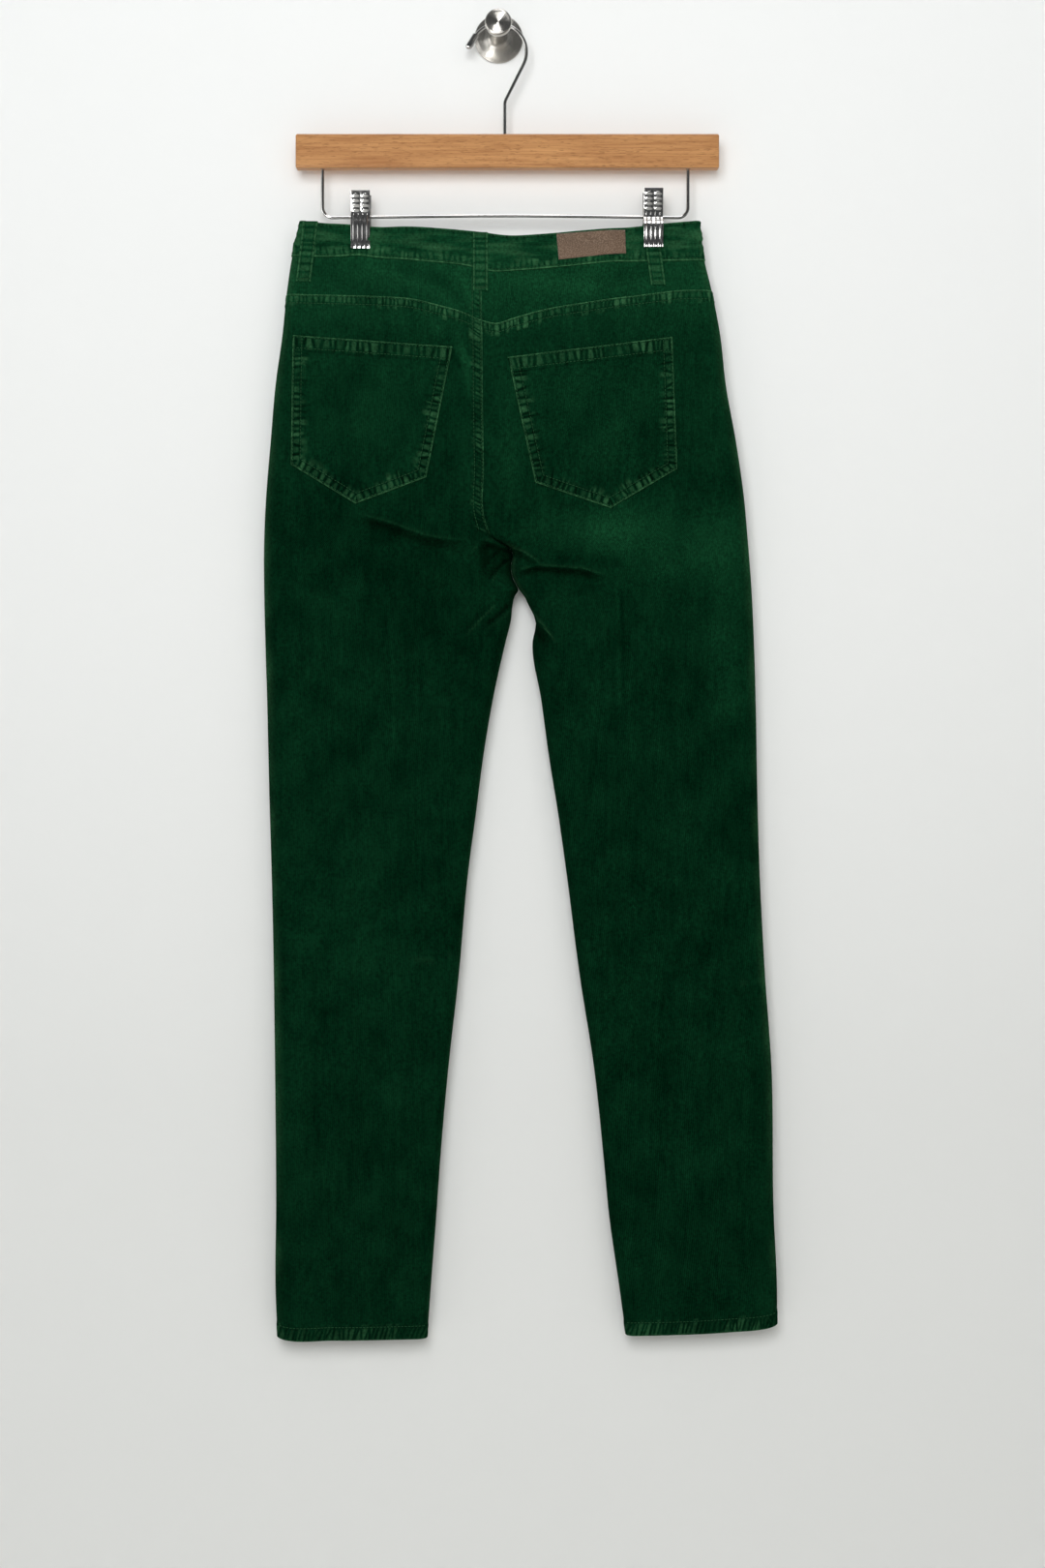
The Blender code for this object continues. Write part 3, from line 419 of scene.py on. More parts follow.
def surface(x, drop, face):
    """Points of the cloth's outer face and the directions that point away from it."""
    step = 0.02
    left_inner, right_inner = inner_edges(drop, face)
    inside = np.where(x < (left_inner + right_inner) / 2, np.minimum(x, left_inner - 2 * step),
                      np.maximum(x, right_inner + 2 * step))
    inside = np.clip(inside, SECTION["left_edge"](drop) + 2 * step, SECTION["right_edge"](drop) - 2 * step)
    slope_x = (depth(inside + step, drop, face) - depth(inside - step, drop, face)) / (2 * step)
    slope_drop = (depth(inside, drop + step, face) - depth(inside, drop - step, face)) / (2 * step)
    out = -1.0 if face == "back" else 1.0
    points = np.stack([x, HANG_PLANE + out * depth(x, drop, face), -drop], axis=-1)
    normals = np.stack([-slope_x, np.full(x.shape, out), slope_drop], axis=-1)
    return points, normals / np.linalg.norm(normals, axis=-1, keepdims=True)


print("back stands", round(float(depth(np.array(60.0), np.array(400.0), "back")), 1), "mm off the plane")

# %% [markdown]
# ## Materials
#
# A material starts from what the real one is. One function turns sRGB hex colours to the linear values that
# shaders use, and one adds a node with its settings and links. Pattern sizes are worked out from millimetres:
# a Noise Texture's scale is one divided by the size of a feature in metres.

# %% Helpers for materials
def linear(colour):
    """Linear red, green, blue and alpha of an sRGB hex colour such as "#7f7f7f"."""
    parts = [int(colour[i:i + 2], 16) / 255 for i in (1, 3, 5)]
    return (*[p / 12.92 if p <= 0.04045 else ((p + 0.055) / 1.055) ** 2.4 for p in parts], 1.0)


def feed(tree, node, links):
    """Gives a node's sockets their values, or links them to another node's output."""
    for socket, value in links.items():
        if isinstance(value, bpy.types.NodeSocket):
            tree.links.new(value, node.inputs[socket])
        else:
            node.inputs[socket].default_value = value


def add(tree, kind, links=None, **settings):
    """Adds a shader node: links maps a socket to a value or to another node's output."""
    made = tree.nodes.new("ShaderNode" + kind)
    for name, value in settings.items():
        setattr(made, name, value)
    feed(tree, made, links or {})
    return made


def start_material(name, roughness, metallic=0.0):
    """Empty Principled material, its tree and its shader."""
    material = bpy.data.materials.new(name)
    material.use_nodes = True
    shader = material.node_tree.nodes["Principled BSDF"]
    feed(material.node_tree, shader, {"Roughness": roughness, "Metallic": metallic})
    return material, material.node_tree, shader


def feature(size_mm):
    """Scale of a Noise Texture on coordinates in metres, for features size_mm long."""
    return 1000.0 / size_mm


# %% [markdown]
# ### Garment-dyed corduroy
#
# Corduroy is cotton with cut pile in cords, called wales, that run down the cloth. These jeans were dyed
# after sewing and then washed, so the pile is bottle green, cloudy where it lies another way, and pale where
# seams were rubbed. The wales are about 1.6 mm apart and follow a UV map that is laid out in metres along
# the cloth. Two attributes on the mesh place the rest. One says how pale the pile lies, and along a few folds
# it also holds painted highlight and painted shade. The other runs from -1, painted shade in the bottom of a
# furrow, to 1 on a ridge that is rubbed pale and given a painted highlight. Pile traps light, so it is matt,
# with hardly a highlight and only a faint sheen where it is seen edge-on.

# %% Corduroy
WALE_MM = 1.6


def make_corduroy():
    """Wales from a cosine of the UV map, mottling from noise in three sizes, tone from the attributes."""
    material, tree, shader = start_material("garment_dyed_corduroy", 0.95)
    place = add(tree, "TexCoord").outputs["Object"]
    laid = add(tree, "UVMap", uv_map="cloth").outputs["UV"]
    across = add(tree, "SeparateXYZ", {"Vector": laid}).outputs["X"]
    wobble = add(tree, "TexNoise", {"Vector": place, "Scale": feature(30.0)}).outputs["Fac"]
    turned = add(tree, "Math", {0: across, 1: 2 * math.pi / (WALE_MM * MM), 2: 0.0}, operation="MULTIPLY_ADD")
    phase = add(tree, "Math", {0: turned.outputs[0], 1: wobble}, operation="ADD").outputs[0]
    wale = add(tree, "Math", {0: add(tree, "Math", {0: phase}, operation="COSINE").outputs[0], 1: 0.5, 2: 0.5},
               operation="MULTIPLY_ADD").outputs[0]
    # Mottling is a little longer down the cloth, the way the pile was brushed, and streaks follow the wales.
    tall = add(tree, "Mapping", {"Vector": place, "Scale": (1.0, 1.0, 0.6)}).outputs["Vector"]
    clouds = add(tree, "TexNoise", {"Vector": tall, "Scale": feature(14.0), "Detail": 6.0,
                                    "Roughness": 0.75}).outputs["Fac"]
    taller = add(tree, "Mapping", {"Vector": place, "Scale": (1.0, 1.0, 0.07)}).outputs["Vector"]
    streaks = add(tree, "TexNoise", {"Vector": taller, "Scale": feature(3.0), "Detail": 3.0}).outputs["Fac"]
    flecks = add(tree, "TexNoise", {"Vector": place, "Scale": feature(2.2), "Detail": 3.0}).outputs["Fac"]
    mottle = add(tree, "Math", {0: clouds, 1: 0.7, 2: add(tree, "Math", {0: streaks, 1: 0.3},
                                                          operation="MULTIPLY").outputs[0]},
                 operation="MULTIPLY_ADD").outputs[0]
    nap_tone = add(tree, "Attribute", attribute_name="nap").outputs["Fac"]
    cloud_tone = add(tree, "MapRange", {"Value": mottle, "From Min": 0.34, "From Max": 0.66, "To Min": -0.11,
                                        "To Max": 0.11}).outputs["Result"]
    tone = add(tree, "Math", {0: nap_tone, 1: cloud_tone}, operation="ADD", use_clamp=True).outputs[0]
    base = add(tree, "MixRGB", {0: tone, 1: linear("#001a0c"), 2: linear("#15492b")}).outputs[0]
    grain = add(tree, "MapRange", {"Value": flecks, "From Min": 0.3, "From Max": 0.7, "To Min": 0.62,
                                   "To Max": 1.38}).outputs["Result"]
    furrow = add(tree, "MapRange", {"Value": wale, "To Min": 0.86, "To Max": 1.10}).outputs["Result"]
    light = add(tree, "Math", {0: grain, 1: furrow}, operation="MULTIPLY").outputs[0]
    # Below 0 the second attribute darkens the pile as painted shade, in furrows, troughs and hollows.
    worn = add(tree, "Attribute", attribute_name="worn").outputs["Fac"]
    dark = add(tree, "MapRange", {"Value": worn, "From Min": -0.8, "From Max": 0.0, "To Min": 0.22,
                                  "To Max": 1.0}).outputs["Result"]
    shade = add(tree, "Math", {0: light, 1: dark}, operation="MULTIPLY").outputs[0]
    napped = add(tree, "VectorMath", {0: base, "Scale": shade}, operation="SCALE").outputs["Vector"]
    patchy = add(tree, "MapRange", {"Value": flecks, "From Min": 0.25, "From Max": 0.75, "To Min": 0.5,
                                    "To Max": 1.4}).outputs["Result"]
    # Above 0 it turns the pile towards this pale green, for rubbed pile and for painted highlights on ridges
    # and rolls.
    rubbed = add(tree, "Math", {0: worn, 1: patchy}, operation="MULTIPLY", use_clamp=True).outputs[0]
    colour = add(tree, "MixRGB", {0: rubbed, 1: napped, 2: linear("#42744c")}).outputs[0]
    # Lint: a pale speck in about one cell in six.
    cells = add(tree, "TexVoronoi", {"Vector": place, "Scale": feature(26.0)})
    rare = add(tree, "Math", {0: cells.outputs["Color"], 1: 0.84}, operation="GREATER_THAN").outputs[0]
    near = add(tree, "Math", {0: cells.outputs["Distance"], 1: 0.016}, operation="LESS_THAN").outputs[0]
    speck = add(tree, "Math", {0: rare, 1: near}, operation="MULTIPLY").outputs[0]
    linted = add(tree, "MixRGB", {0: speck, 1: colour, 2: linear("#8fb39a")}).outputs[0]
    height = add(tree, "Math", {0: flecks, 1: 0.5, 2: wale}, operation="MULTIPLY_ADD").outputs[0]
    bump = add(tree, "Bump", {"Strength": 0.8, "Distance": 0.22 * MM, "Height": height})
    feed(tree, shader, {"Base Color": linted, "Normal": bump.outputs["Normal"], "Specular IOR Level": 0.01,
                        "Sheen Weight": 0.03, "Sheen Roughness": 0.4, "Sheen Tint": linear("#3f9a66")})
    return material


CORDUROY = make_corduroy()
print("wales per inch:", round(25.4 / WALE_MM))

# %% [markdown]
# ### Sewing thread
#
# The seams are sewn with a polyester-wrapped cotton thread, which took the dye less than the cotton did, so
# it stands out a little in yellow-green. Each stitch is real geometry, so the thread's material only needs its
# twist: fine slanted bands a third of a millimetre apart.

# %% Thread
def make_thread():
    """Twisted thread: two greens mixed by diagonal bands in the object's own coordinates."""
    material, tree, shader = start_material("sewing_thread", 0.75)
    place = add(tree, "TexCoord").outputs["Object"]
    tilted = add(tree, "Mapping", {"Vector": place, "Rotation": (0.6, 0.5, 0.8)}).outputs["Vector"]
    twist = add(tree, "TexWave", {"Vector": tilted, "Scale": feature(2.1)}).outputs["Fac"]
    colour = add(tree, "MixRGB", {0: twist, 1: linear("#12361e"), 2: linear("#25522f")}).outputs[0]
    feed(tree, shader, {"Base Color": colour, "Specular IOR Level": 0.1})
    return material


THREAD = make_thread()

# %% [markdown]
# ## Cloth panels
#
# A panel is a grid of places between two upright edges and two seams. Each place becomes a point on the
# hanging surface, moved out by the relief of its seams, and a second grid behind it gives the cloth its
# thickness. A rim joins the two, so the panel is one closed thin wall. The UV map is measured along the
# cloth itself, row by row from its middle column, so the wales stay parallel and run off at the seams, as
# they do in a cut panel.

# %% Grids of places
FOLD_POINTS = 8
ROLLED = np.array([0.0, 0.3, 0.75, 1.3, 2.0])       # mm in from an edge that is rolled over


def spaced(spans, rolled=(True, True)):
    """Shares of a length at the pitches of (start, end, pitch) spans, closer together at rolled ends."""
    marks = np.unique(np.concatenate([np.linspace(start, end, max(1, round((end - start) / pitch)) + 1)
                                      for start, end, pitch in spans]))
    first, last = marks[0], marks[-1]
    if rolled[0]:
        marks = np.concatenate([first + ROLLED, marks[marks > first + ROLLED[-1] + 0.5]])
    if rolled[1]:
        marks = np.concatenate([marks[marks < last - ROLLED[-1] - 0.5], last - ROLLED[::-1]])
    return (marks - first) / (last - first)


def columns_across(shares, fold_left, fold_right):
    """Three weights for each column: of the left fold, of the flat width and of the right fold.

    On a fold the columns stand at equal turns of the round, so the edge is as smooth as the rest.
    """
    turn = 1 - np.cos(np.linspace(0, math.pi / 2, FOLD_POINTS + 1))[:-1]
    rows = [(t, 0, 0) for t in turn] if fold_left else []
    rows += [(float(fold_left), s, 0) for s in shares]
    rows += [(float(fold_left), 1, 1 - t) for t in turn[::-1]] if fold_right else []
    return np.array(rows).T


def panel_grid(left, right, top, bottom, down, across, folds=(False, False)):
    """Places (x, drop) of a panel between two upright edges and two seams.

    left and right give x for a drop, top and bottom give a drop for an x, so the grid is settled by
    working out each from the other a few times. down and across hold shares of the height and width.
    """
    fold_left, width, fold_right = columns_across(across, *folds)
    down = np.asarray(down)[:, None]
    x = np.zeros((len(down), len(width)))
    drop = np.broadcast_to(top(x) + (bottom(x) - top(x)) * down, x.shape)
    for _ in range(8):
        radius = SECTION["fold"](drop)
        from_x, to_x = left(drop), right(drop)
        kept = radius * (float(folds[0]) + float(folds[1]))
        x = from_x + fold_left * radius + width * (to_x - from_x - kept) + fold_right * radius
        drop = top(x) + (bottom(x) - top(x)) * down
    return x, drop


# %% Closed walls of cloth
made_triangles = {}
cut_sizes = {}


def add_mesh(name, points, faces, material, slot, uv=None, **tones):
    """Object from points in millimetres, with an optional UV map and attributes, riding on the one body."""
    mesh = bpy.data.meshes.new(name)
    mesh.from_pydata(np.asarray(points, float) * MM, [], faces)
    mesh.materials.append(material)
    mesh.calc_loop_triangles()
    corners = np.empty(3 * len(mesh.loop_triangles), int)
    mesh.loop_triangles.foreach_get("vertices", corners)
    first, second, third = np.asarray(points, float)[corners.reshape(-1, 3)].transpose(1, 0, 2)
    if np.einsum("ij,ij->", first, np.cross(second, third)) < 0:     # a closed shape turned inside out
        mesh.flip_normals()
    made_triangles[name] = len(mesh.loop_triangles)
    mesh.shade_smooth()
    mesh.set_sharp_from_angle(angle=math.radians(62))
    if uv is not None:
        corner = np.empty(len(mesh.loops), int)
        mesh.loops.foreach_get("vertex_index", corner)
        mesh.uv_layers.new(name="cloth").data.foreach_set("uv", uv[corner].ravel())
    for tone, values in tones.items():
        mesh.attributes.new(tone, "FLOAT", "POINT").data.foreach_set("value", values)
    item = bpy.data.objects.new(name, mesh)
    bpy.context.scene.collection.objects.link(item)
    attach(item, "root")
    return item


def triangles_in(*starts):
    """Triangles of the pieces whose names begin with one of these words."""
    return sum(count for name, count in made_triangles.items() if name.startswith(starts))


def wall_faces(rows, columns):
    """Quads of a closed wall between two grids of points: front, back and a rim round the edge."""
    number = np.arange(rows * columns).reshape(rows, columns)
    behind = rows * columns
    quads = np.stack([number[:-1, :-1], number[1:, :-1], number[1:, 1:], number[:-1, 1:]], axis=-1)
    rim = np.concatenate([number[:-1, 0], number[-1, :-1], number[:0:-1, -1], number[0, :0:-1]])
    after = np.roll(rim, -1)
    edge = np.stack([rim, rim + behind, after + behind, after], axis=-1)
    return np.concatenate([quads.reshape(-1, 4), quads.reshape(-1, 4)[:, ::-1] + behind, edge]).tolist()


def laid_out(points, from_column):
    """UV map in metres: across from one column and down from the top row, measured along the cloth."""
    across = np.linalg.norm(np.diff(points, axis=1), axis=-1).cumsum(axis=1)
    across = np.concatenate([np.zeros((len(points), 1)), across], axis=1)
    across -= across[:, from_column][:, None]
    down = np.linalg.norm(np.diff(points, axis=0), axis=-1).cumsum(axis=0)
    down = np.concatenate([np.zeros((1, points.shape[1])), down], axis=0)
    return np.stack([across, -down], axis=-1) * MM


def closed_cloth(name, x, drop, face, low, high, worn, uv, material, slot):
    """Wall between two heights over the surface, given for each place of a grid. Returns outer points too."""
    points, normals = surface(x, drop, face)
    outer, inner = points + normals * high[..., None], points + normals * low[..., None]
    tones = np.clip(worn, -1, 1), nap(x, drop)
    if face == "front":
        outer, inner, uv, tones = outer[:, ::-1], inner[:, ::-1], uv[:, ::-1], [t[:, ::-1] for t in tones]
    item = add_mesh(name, np.concatenate([outer.reshape(-1, 3), inner.reshape(-1, 3)]), wall_faces(*x.shape),
                    material, slot, np.concatenate([uv.reshape(-1, 2)] * 2),
                    worn=np.concatenate([tones[0].ravel(), np.zeros(x.size)]),
                    nap=np.concatenate([tones[1].ravel()] * 2))
    return item, points


def cloth(name, x, drop, face, wall, relief, lift=0.0, crosswise=False,
          material=CORDUROY, slot="green_corduroy"):
    """Piece of cloth over a grid of places, with the size of its flat cut kept in cut_sizes.

    relief(x, drop) gives (height, worn). lift raises the whole piece, and crosswise turns its wales.
    """
    drop = np.broadcast_to(drop, x.shape)
    height, worn = relief(x, drop)
    height = height + lift
    uv = laid_out(surface(x, drop, face)[0], x.shape[1] // 2)
    item, points = closed_cloth(name, x, drop, face, np.minimum(lift - wall, height - 0.3), height, worn,
                                uv[..., ::-1] if crosswise else uv, material, slot)
    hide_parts(name.removesuffix("_cloth"))
    diagonal, other = points[1:, 1:] - points[:-1, :-1], points[1:, :-1] - points[:-1, 1:]
    area = (np.linalg.norm(np.cross(diagonal, other), axis=-1) / 2).sum()
    width = np.linalg.norm(np.diff(points, axis=1), axis=-1).sum(axis=1).max()
    length = np.linalg.norm(np.diff(points, axis=0), axis=-1).sum(axis=0).max()
    cut_sizes[name] = (round(width), round(length), round(area / 100))
    return item


# %% [markdown]
# A seam has a section of its own. The cloth's edge is turned under, so it rolls over, and beside it more
# layers make a raised band. Two rows of stitching press grooves into the band, and between them the cloth
# puckers. The rolled edge and the ridges are where the pile has rubbed pale, and the ridges' crests also get a
# painted highlight. Furrows and grooves are darkened as painted shade.

# %% Relief of a seam
def seam_relief(distance, along, width, spacing, seed, raised=0.5, deep=0.5, pale=1.0, dip=0.3, slant=0.0,
                rows=(1.7, 8.0), dark=0.75, reach=1.0):
    """Height and tone of a turned and sewn edge, from the distance in from it and the place along it.

    The puckers are reach times as long as the seam is wide.
    """
    edge = rounding(distance, 1.1)
    band = 1 - eased(distance, width - 1.2, width + 1.2)
    furrow, rubbed = puckers(along, distance, reach * width, spacing, seed, slant)
    grooves = sum(np.exp(-((distance - row) / 0.55) ** 2) for row in rows)
    height = raised * band * edge - dip * (1 - edge) - (deep * furrow + 0.22 * grooves) * edge
    patches = np.clip(0.75 + 0.5 * waves(along, 0 * along, 30, seed), 0.25, 1.15)
    # Ridges: rubbed pile and painted highlight. Furrows and grooves: darkened as painted shade.
    line = np.exp(-((distance - 0.55) / 0.45) ** 2)
    pale_rubbing_and_highlight = pale * (0.52 * rubbed * patches * edge + 0.8 * line * (0.4 + 0.6 * rubbed))
    return height, pale_rubbing_and_highlight * (1 - furrow) - dark * furrow * edge * (1 - 0.5 * line) - 0.36 * grooves * (1 - line)


def turned_edge(distance, dip):
    """Height at an edge that is only rolled over."""
    return -dip * (1 - rounding(distance, 1.3))


def together(*reliefs):
    """Sum of several (height, worn) pairs."""
    heights, rubs = zip(*reliefs)
    return sum(heights), sum(rubs)


def faded(share, relief):
    """A (height, worn) pair times a share."""
    return relief[0] * share, relief[1] * share


def side_wear(x, drop):
    """Pile rubbed along the side folds, in patches."""
    to_side = np.minimum(x - SECTION["left_edge"](drop), SECTION["right_edge"](drop) - x)
    patches = np.clip(0.6 + 0.7 * waves(0 * x, drop, 60, 21), 0, 1.4)
    return np.zeros(x.shape), 0.22 * patches * np.exp(-(to_side / 5.0) ** 2)


def shifted(curve, amount):
    """The same seam, moved down (or up, if negative)."""
    return lambda x: curve(x) + amount


def side_edges(side, face):
    """The two upright edges of a leg: its side fold, and the seat seam or inseam."""
    if side == "left":
        return SECTION["left_edge"], lambda drop: inner_edges(drop, face)[0]
    return lambda drop: inner_edges(drop, face)[1], SECTION["right_edge"]


def folded(side):
    """Whether a half's left edge, and its right edge, is rounded over at a side fold."""
    return side == "left", side == "right"


# %% [markdown]
# ### The back
#
# Each half of the back is a yoke and a leg panel. The leg's top edge is felled over the yoke in a shallow V,
# with a puckered band 11 mm wide. The seat seam is felled over the left half. At the bottom the cloth is
# turned up twice into a hem 13 mm high, whose puckers slant, because the two layers crept as they were sewn.
# A leg is a metre long, and a grid fine enough for puckers would be needlessly heavy all over it. So each of
# these bands is a narrow, finer grid that lies over the panel's edge, with its far side sunk into the panel.

# %% Back yokes, back legs and their seam bands
YOKE_BAND, SEAT_BAND, HEM_BAND, BAND_LAP = 11.0, 10.0, 13.0, 0.5
HEM_OVERHANG, HEM_ROW = 0.3, 12.0           # how far the hem hangs below the panel, and its row of stitches
FELL_ROWS = (1.7, 8.4)                      # rows of stitches of a felled seam
SEAT_TOP, SEAT_END = 216.0, 452.0
LEG_COLUMNS = [(0, 60, 3.0), (60, 180, 1.8)]
BACK_LEG_ROWS = [(250, 440, 3.0), (440, 500, 1.0), (500, 560, 1.8), (560, 1165, 6.0)]


def marks_in(width):
    """Distances in from an edge at which a band has a line of points: close at the roll and the far side."""
    return np.concatenate([[0, 0.25, 0.6, 1.0, 1.4, 1.8, 2.3, 3.0], np.arange(3.9, width - 0.3, 0.9),
                           width + np.array([0.0, 0.9, 1.8, 2.7, 3.6])])


def yoke_band(x, drop):
    """Felled seam between yoke and leg."""
    return seam_relief(drop - YOKE_SEAM(x) + BAND_LAP, x, YOKE_BAND, 4.4, 11, raised=0.55, deep=0.45,
                       pale=1.05, dark=0.55)


def seat_band(x, drop):
    """Felled seat seam, thicker and paler where it crosses the yoke seam, and ending at the crotch."""
    beside = inner_edges(drop, "back")[0] + BAND_LAP - x
    lump = np.exp(-((drop - 270) / 9.0) ** 2)
    height, worn = seam_relief(beside, drop - 300, SEAT_BAND, 3.8, 12, raised=0.5, deep=0.55, pale=0.55,
                               slant=-0.5, dark=0.55)
    end = 1 - eased(drop, SEAT_END - 7, SEAT_END - 1)
    return (height + 0.55 * lump) * end - 0.3 * (1 - end), worn * end + 0.22 * lump


def hem_band(face):
    """Hem: an edge that is folded twice, with one row of stitches near the top of the band."""
    seed, slant = (13, 0.28) if face == "back" else (14, -0.28)
    return lambda x, drop: seam_relief(HEM(x) + HEM_OVERHANG - drop, x, HEM_BAND, 3.6, seed, raised=0.5,
                                       deep=0.42, pale=0.5, dip=0.9, slant=slant, dark=0.5, rows=(HEM_ROW,))


def inseam_wear_and_shade(x, drop, side):
    """At the crotch one panel's edge laps over the other: a rubbed line, and painted shade beside it."""
    beside = np.abs(x - inner_edges(drop, "back")[0 if side == "left" else 1])
    there = eased(drop, 458, 464) * (1 - eased(drop, 500, 512))
    if side == "right":
        return 0.26 * np.exp(-((beside - 1.0) / 1.2) ** 2) * there
    rubbed = 0.1 * np.exp(-(beside / 1.6) ** 2) * eased(drop, 520, 540)
    return -0.45 * np.exp(-(beside / 4.0) ** 2) * there + rubbed


def leg_relief(top_edge, side=None):
    """A leg panel's own relief: its top and bottom edges lie lower, under the bands. Creases get a pale line,
        rubbed pile and painted highlight, and painted shade in their troughs. At the back the crotch's pit
        and the lapped inseam get painted shade.
    """
    def relief(x, drop):
        height = turned_edge(drop - top_edge(x), 0.5) + turned_edge(HEM(x) - drop, 1.2)
        worn = side_wear(x, drop)[1]
        worn = worn + creases(x, drop, BACK_CREASES if side else FRONT_CREASES)[1]
        if side:
            worn = worn + inseam_wear_and_shade(x, drop, side)
            # Painted shade in the pit beside the end of the seat seam.
            worn = worn - 0.36 * crotch_hollow(x, drop) * (side == "left")
        return height, worn
    return relief


def seam_strip(name, grid, face, relief):
    """Fine band over a panel, 0.7 mm thick, from a grid of places and its relief. A hem may dip deeper."""
    x, drop = grid
    height, worn = relief(x, drop)
    height = np.maximum(height, -0.95 if "hem" in name else -0.6)
    item, _ = closed_cloth(name, x, drop, face, np.minimum(-0.7, height - 0.25), height, worn,
                           np.stack([x, -drop], axis=-1) * MM, CORDUROY, "green_corduroy")
    return item


def sunk(relief, from_edge, width):
    """The same relief, sinking into the panel past the band's far side."""
    def lowered(x, drop):
        height, worn = relief(x, drop)
        beyond = from_edge(x, drop) - width
        return height - 0.5 * eased(beyond, 2.2, 3.6), worn * (1 - eased(beyond, 0.6, 3.0))
    return lowered


def hem_strip(face, side, pitch):
    """The hem of one leg on one face, with points every pitch mm along it."""
    marks = marks_in(HEM_BAND)
    grid = panel_grid(*side_edges(side, face), shifted(HEM, HEM_OVERHANG - marks[-1]),
                      shifted(HEM, HEM_OVERHANG), 1 - marks[::-1] / marks[-1],
                      spaced([(0, 180, pitch)], (False, False)), folded(side))
    return seam_strip(f"{face}_hem_{side}", grid, face,
                      sunk(hem_band(face), lambda x, drop: HEM(x) + HEM_OVERHANG - drop, HEM_BAND))


def yoke_strip(side):
    """Felled seam between the yoke and the leg of one half."""
    marks = marks_in(YOKE_BAND)
    grid = panel_grid(*side_edges(side, "back"), shifted(YOKE_SEAM, -BAND_LAP),
                      shifted(YOKE_SEAM, marks[-1] - BAND_LAP), marks / marks[-1],
                      spaced([(0, 180, 0.95)], (False, False)), folded(side))
    return seam_strip(f"back_yoke_seam_{side}", grid, "back",
                      sunk(yoke_band, lambda x, drop: drop - YOKE_SEAM(x) + BAND_LAP, YOKE_BAND))


def seat_strip():
    """Felled seam down the middle of the seat."""
    marks = marks_in(SEAT_BAND)
    drop = np.arange(SEAT_TOP, SEAT_END + 0.5, 0.9)[:, None] + np.zeros((1, len(marks)))
    beside = inner_edges(drop, "back")[0] + BAND_LAP
    return seam_strip("seat_seam", (beside - marks[::-1], drop), "back",
                      sunk(seat_band, lambda x, drop: inner_edges(drop, "back")[0] + BAND_LAP - x, SEAT_BAND))


for side in ("left", "right"):
    left, right = side_edges(side, "back")
    across = spaced(LEG_COLUMNS, (False, False))
    if side == "right":
        across = 1 - across[::-1]
    x, drop = panel_grid(left, right, shifted(BACK_WAIST_SEAM, SEAM_GAP / 2),
                         shifted(YOKE_SEAM, -SEAM_GAP / 2), spaced([(0, 35, 1.8)]), across, folded(side))
    cloth(f"back_yoke_{side}_cloth", x, drop, "back", CLOTH_WALL, side_wear)
    bands = [yoke_strip(side), hem_strip("back", side, 0.95)] + ([seat_strip()] if side == "left" else [])
    x, drop = panel_grid(left, right, shifted(YOKE_SEAM, SEAM_GAP / 2), HEM, spaced(BACK_LEG_ROWS), across,
                         folded(side))
    cloth(f"back_leg_{side}_cloth", x, drop, "back", CLOTH_WALL, leg_relief(YOKE_SEAM, side))
    print(side, "leg grid", x.shape, "with", made_triangles[f"back_leg_{side}_cloth"], "triangles, and bands",
          [made_triangles[band.name] for band in bands])

# %% [markdown]
# ### Back pockets
#
# A patch pocket is five-sided. Its edges are turned under and sewn down with two rows, its mouth is a hem
# 13 mm deep. Here the pocket is ruled between its top line and its pointed bottom, and lies on the leg's own
# surface. The relief needs to know how far each place is from each edge, which is a dot product with the
# edge's inward direction. At the sewn edges the pocket dips right down to the leg.

# %% Back pockets
# Columns: side, then the corners (x, drop) top_outer, top_inner, bottom_inner, tip, bottom_outer.
BACK_POCKETS = [
    ("left", (-182.3, 273.3), (-40.4, 283.5), (-63.6, 399.8), (-126.4, 423.1), (-183.6, 388.4)),
    ("right", (154.3, 274.9), (8.2, 292.8), (32.5, 404.4), (99.3, 426.9), (158.5, 392.1)),
]
POCKET_BAND, MOUTH_BAND = 10.0, 13.0
MOUTH_ROWS = (1.7, 11.4)                    # rows of stitches below the mouth's edge
POCKET_LIFT = LAY_GAP + POCKET_WALL


def edge_frames(corners):
    """Start, direction and inward direction of each edge of a shape with straight edges."""
    centre = np.mean(corners, axis=0)
    for start, end in zip(corners, np.roll(corners, -1, axis=0)):
        run = (end - start) / np.linalg.norm(end - start)
        normal = np.array([-run[1], run[0]])
        yield start, run, normal * np.sign((centre - start) @ normal)


def edge_distances(x, drop, corners):
    """Distance in from each edge of a shape with straight edges, and the distance along that edge."""
    inward, along = [], []
    for start, run, normal in edge_frames(corners):
        inward.append((x - start[0]) * normal[0] + (drop - start[1]) * normal[1])
        along.append((x - start[0]) * run[0] + (drop - start[1]) * run[1])
    return np.array(inward), np.array(along)


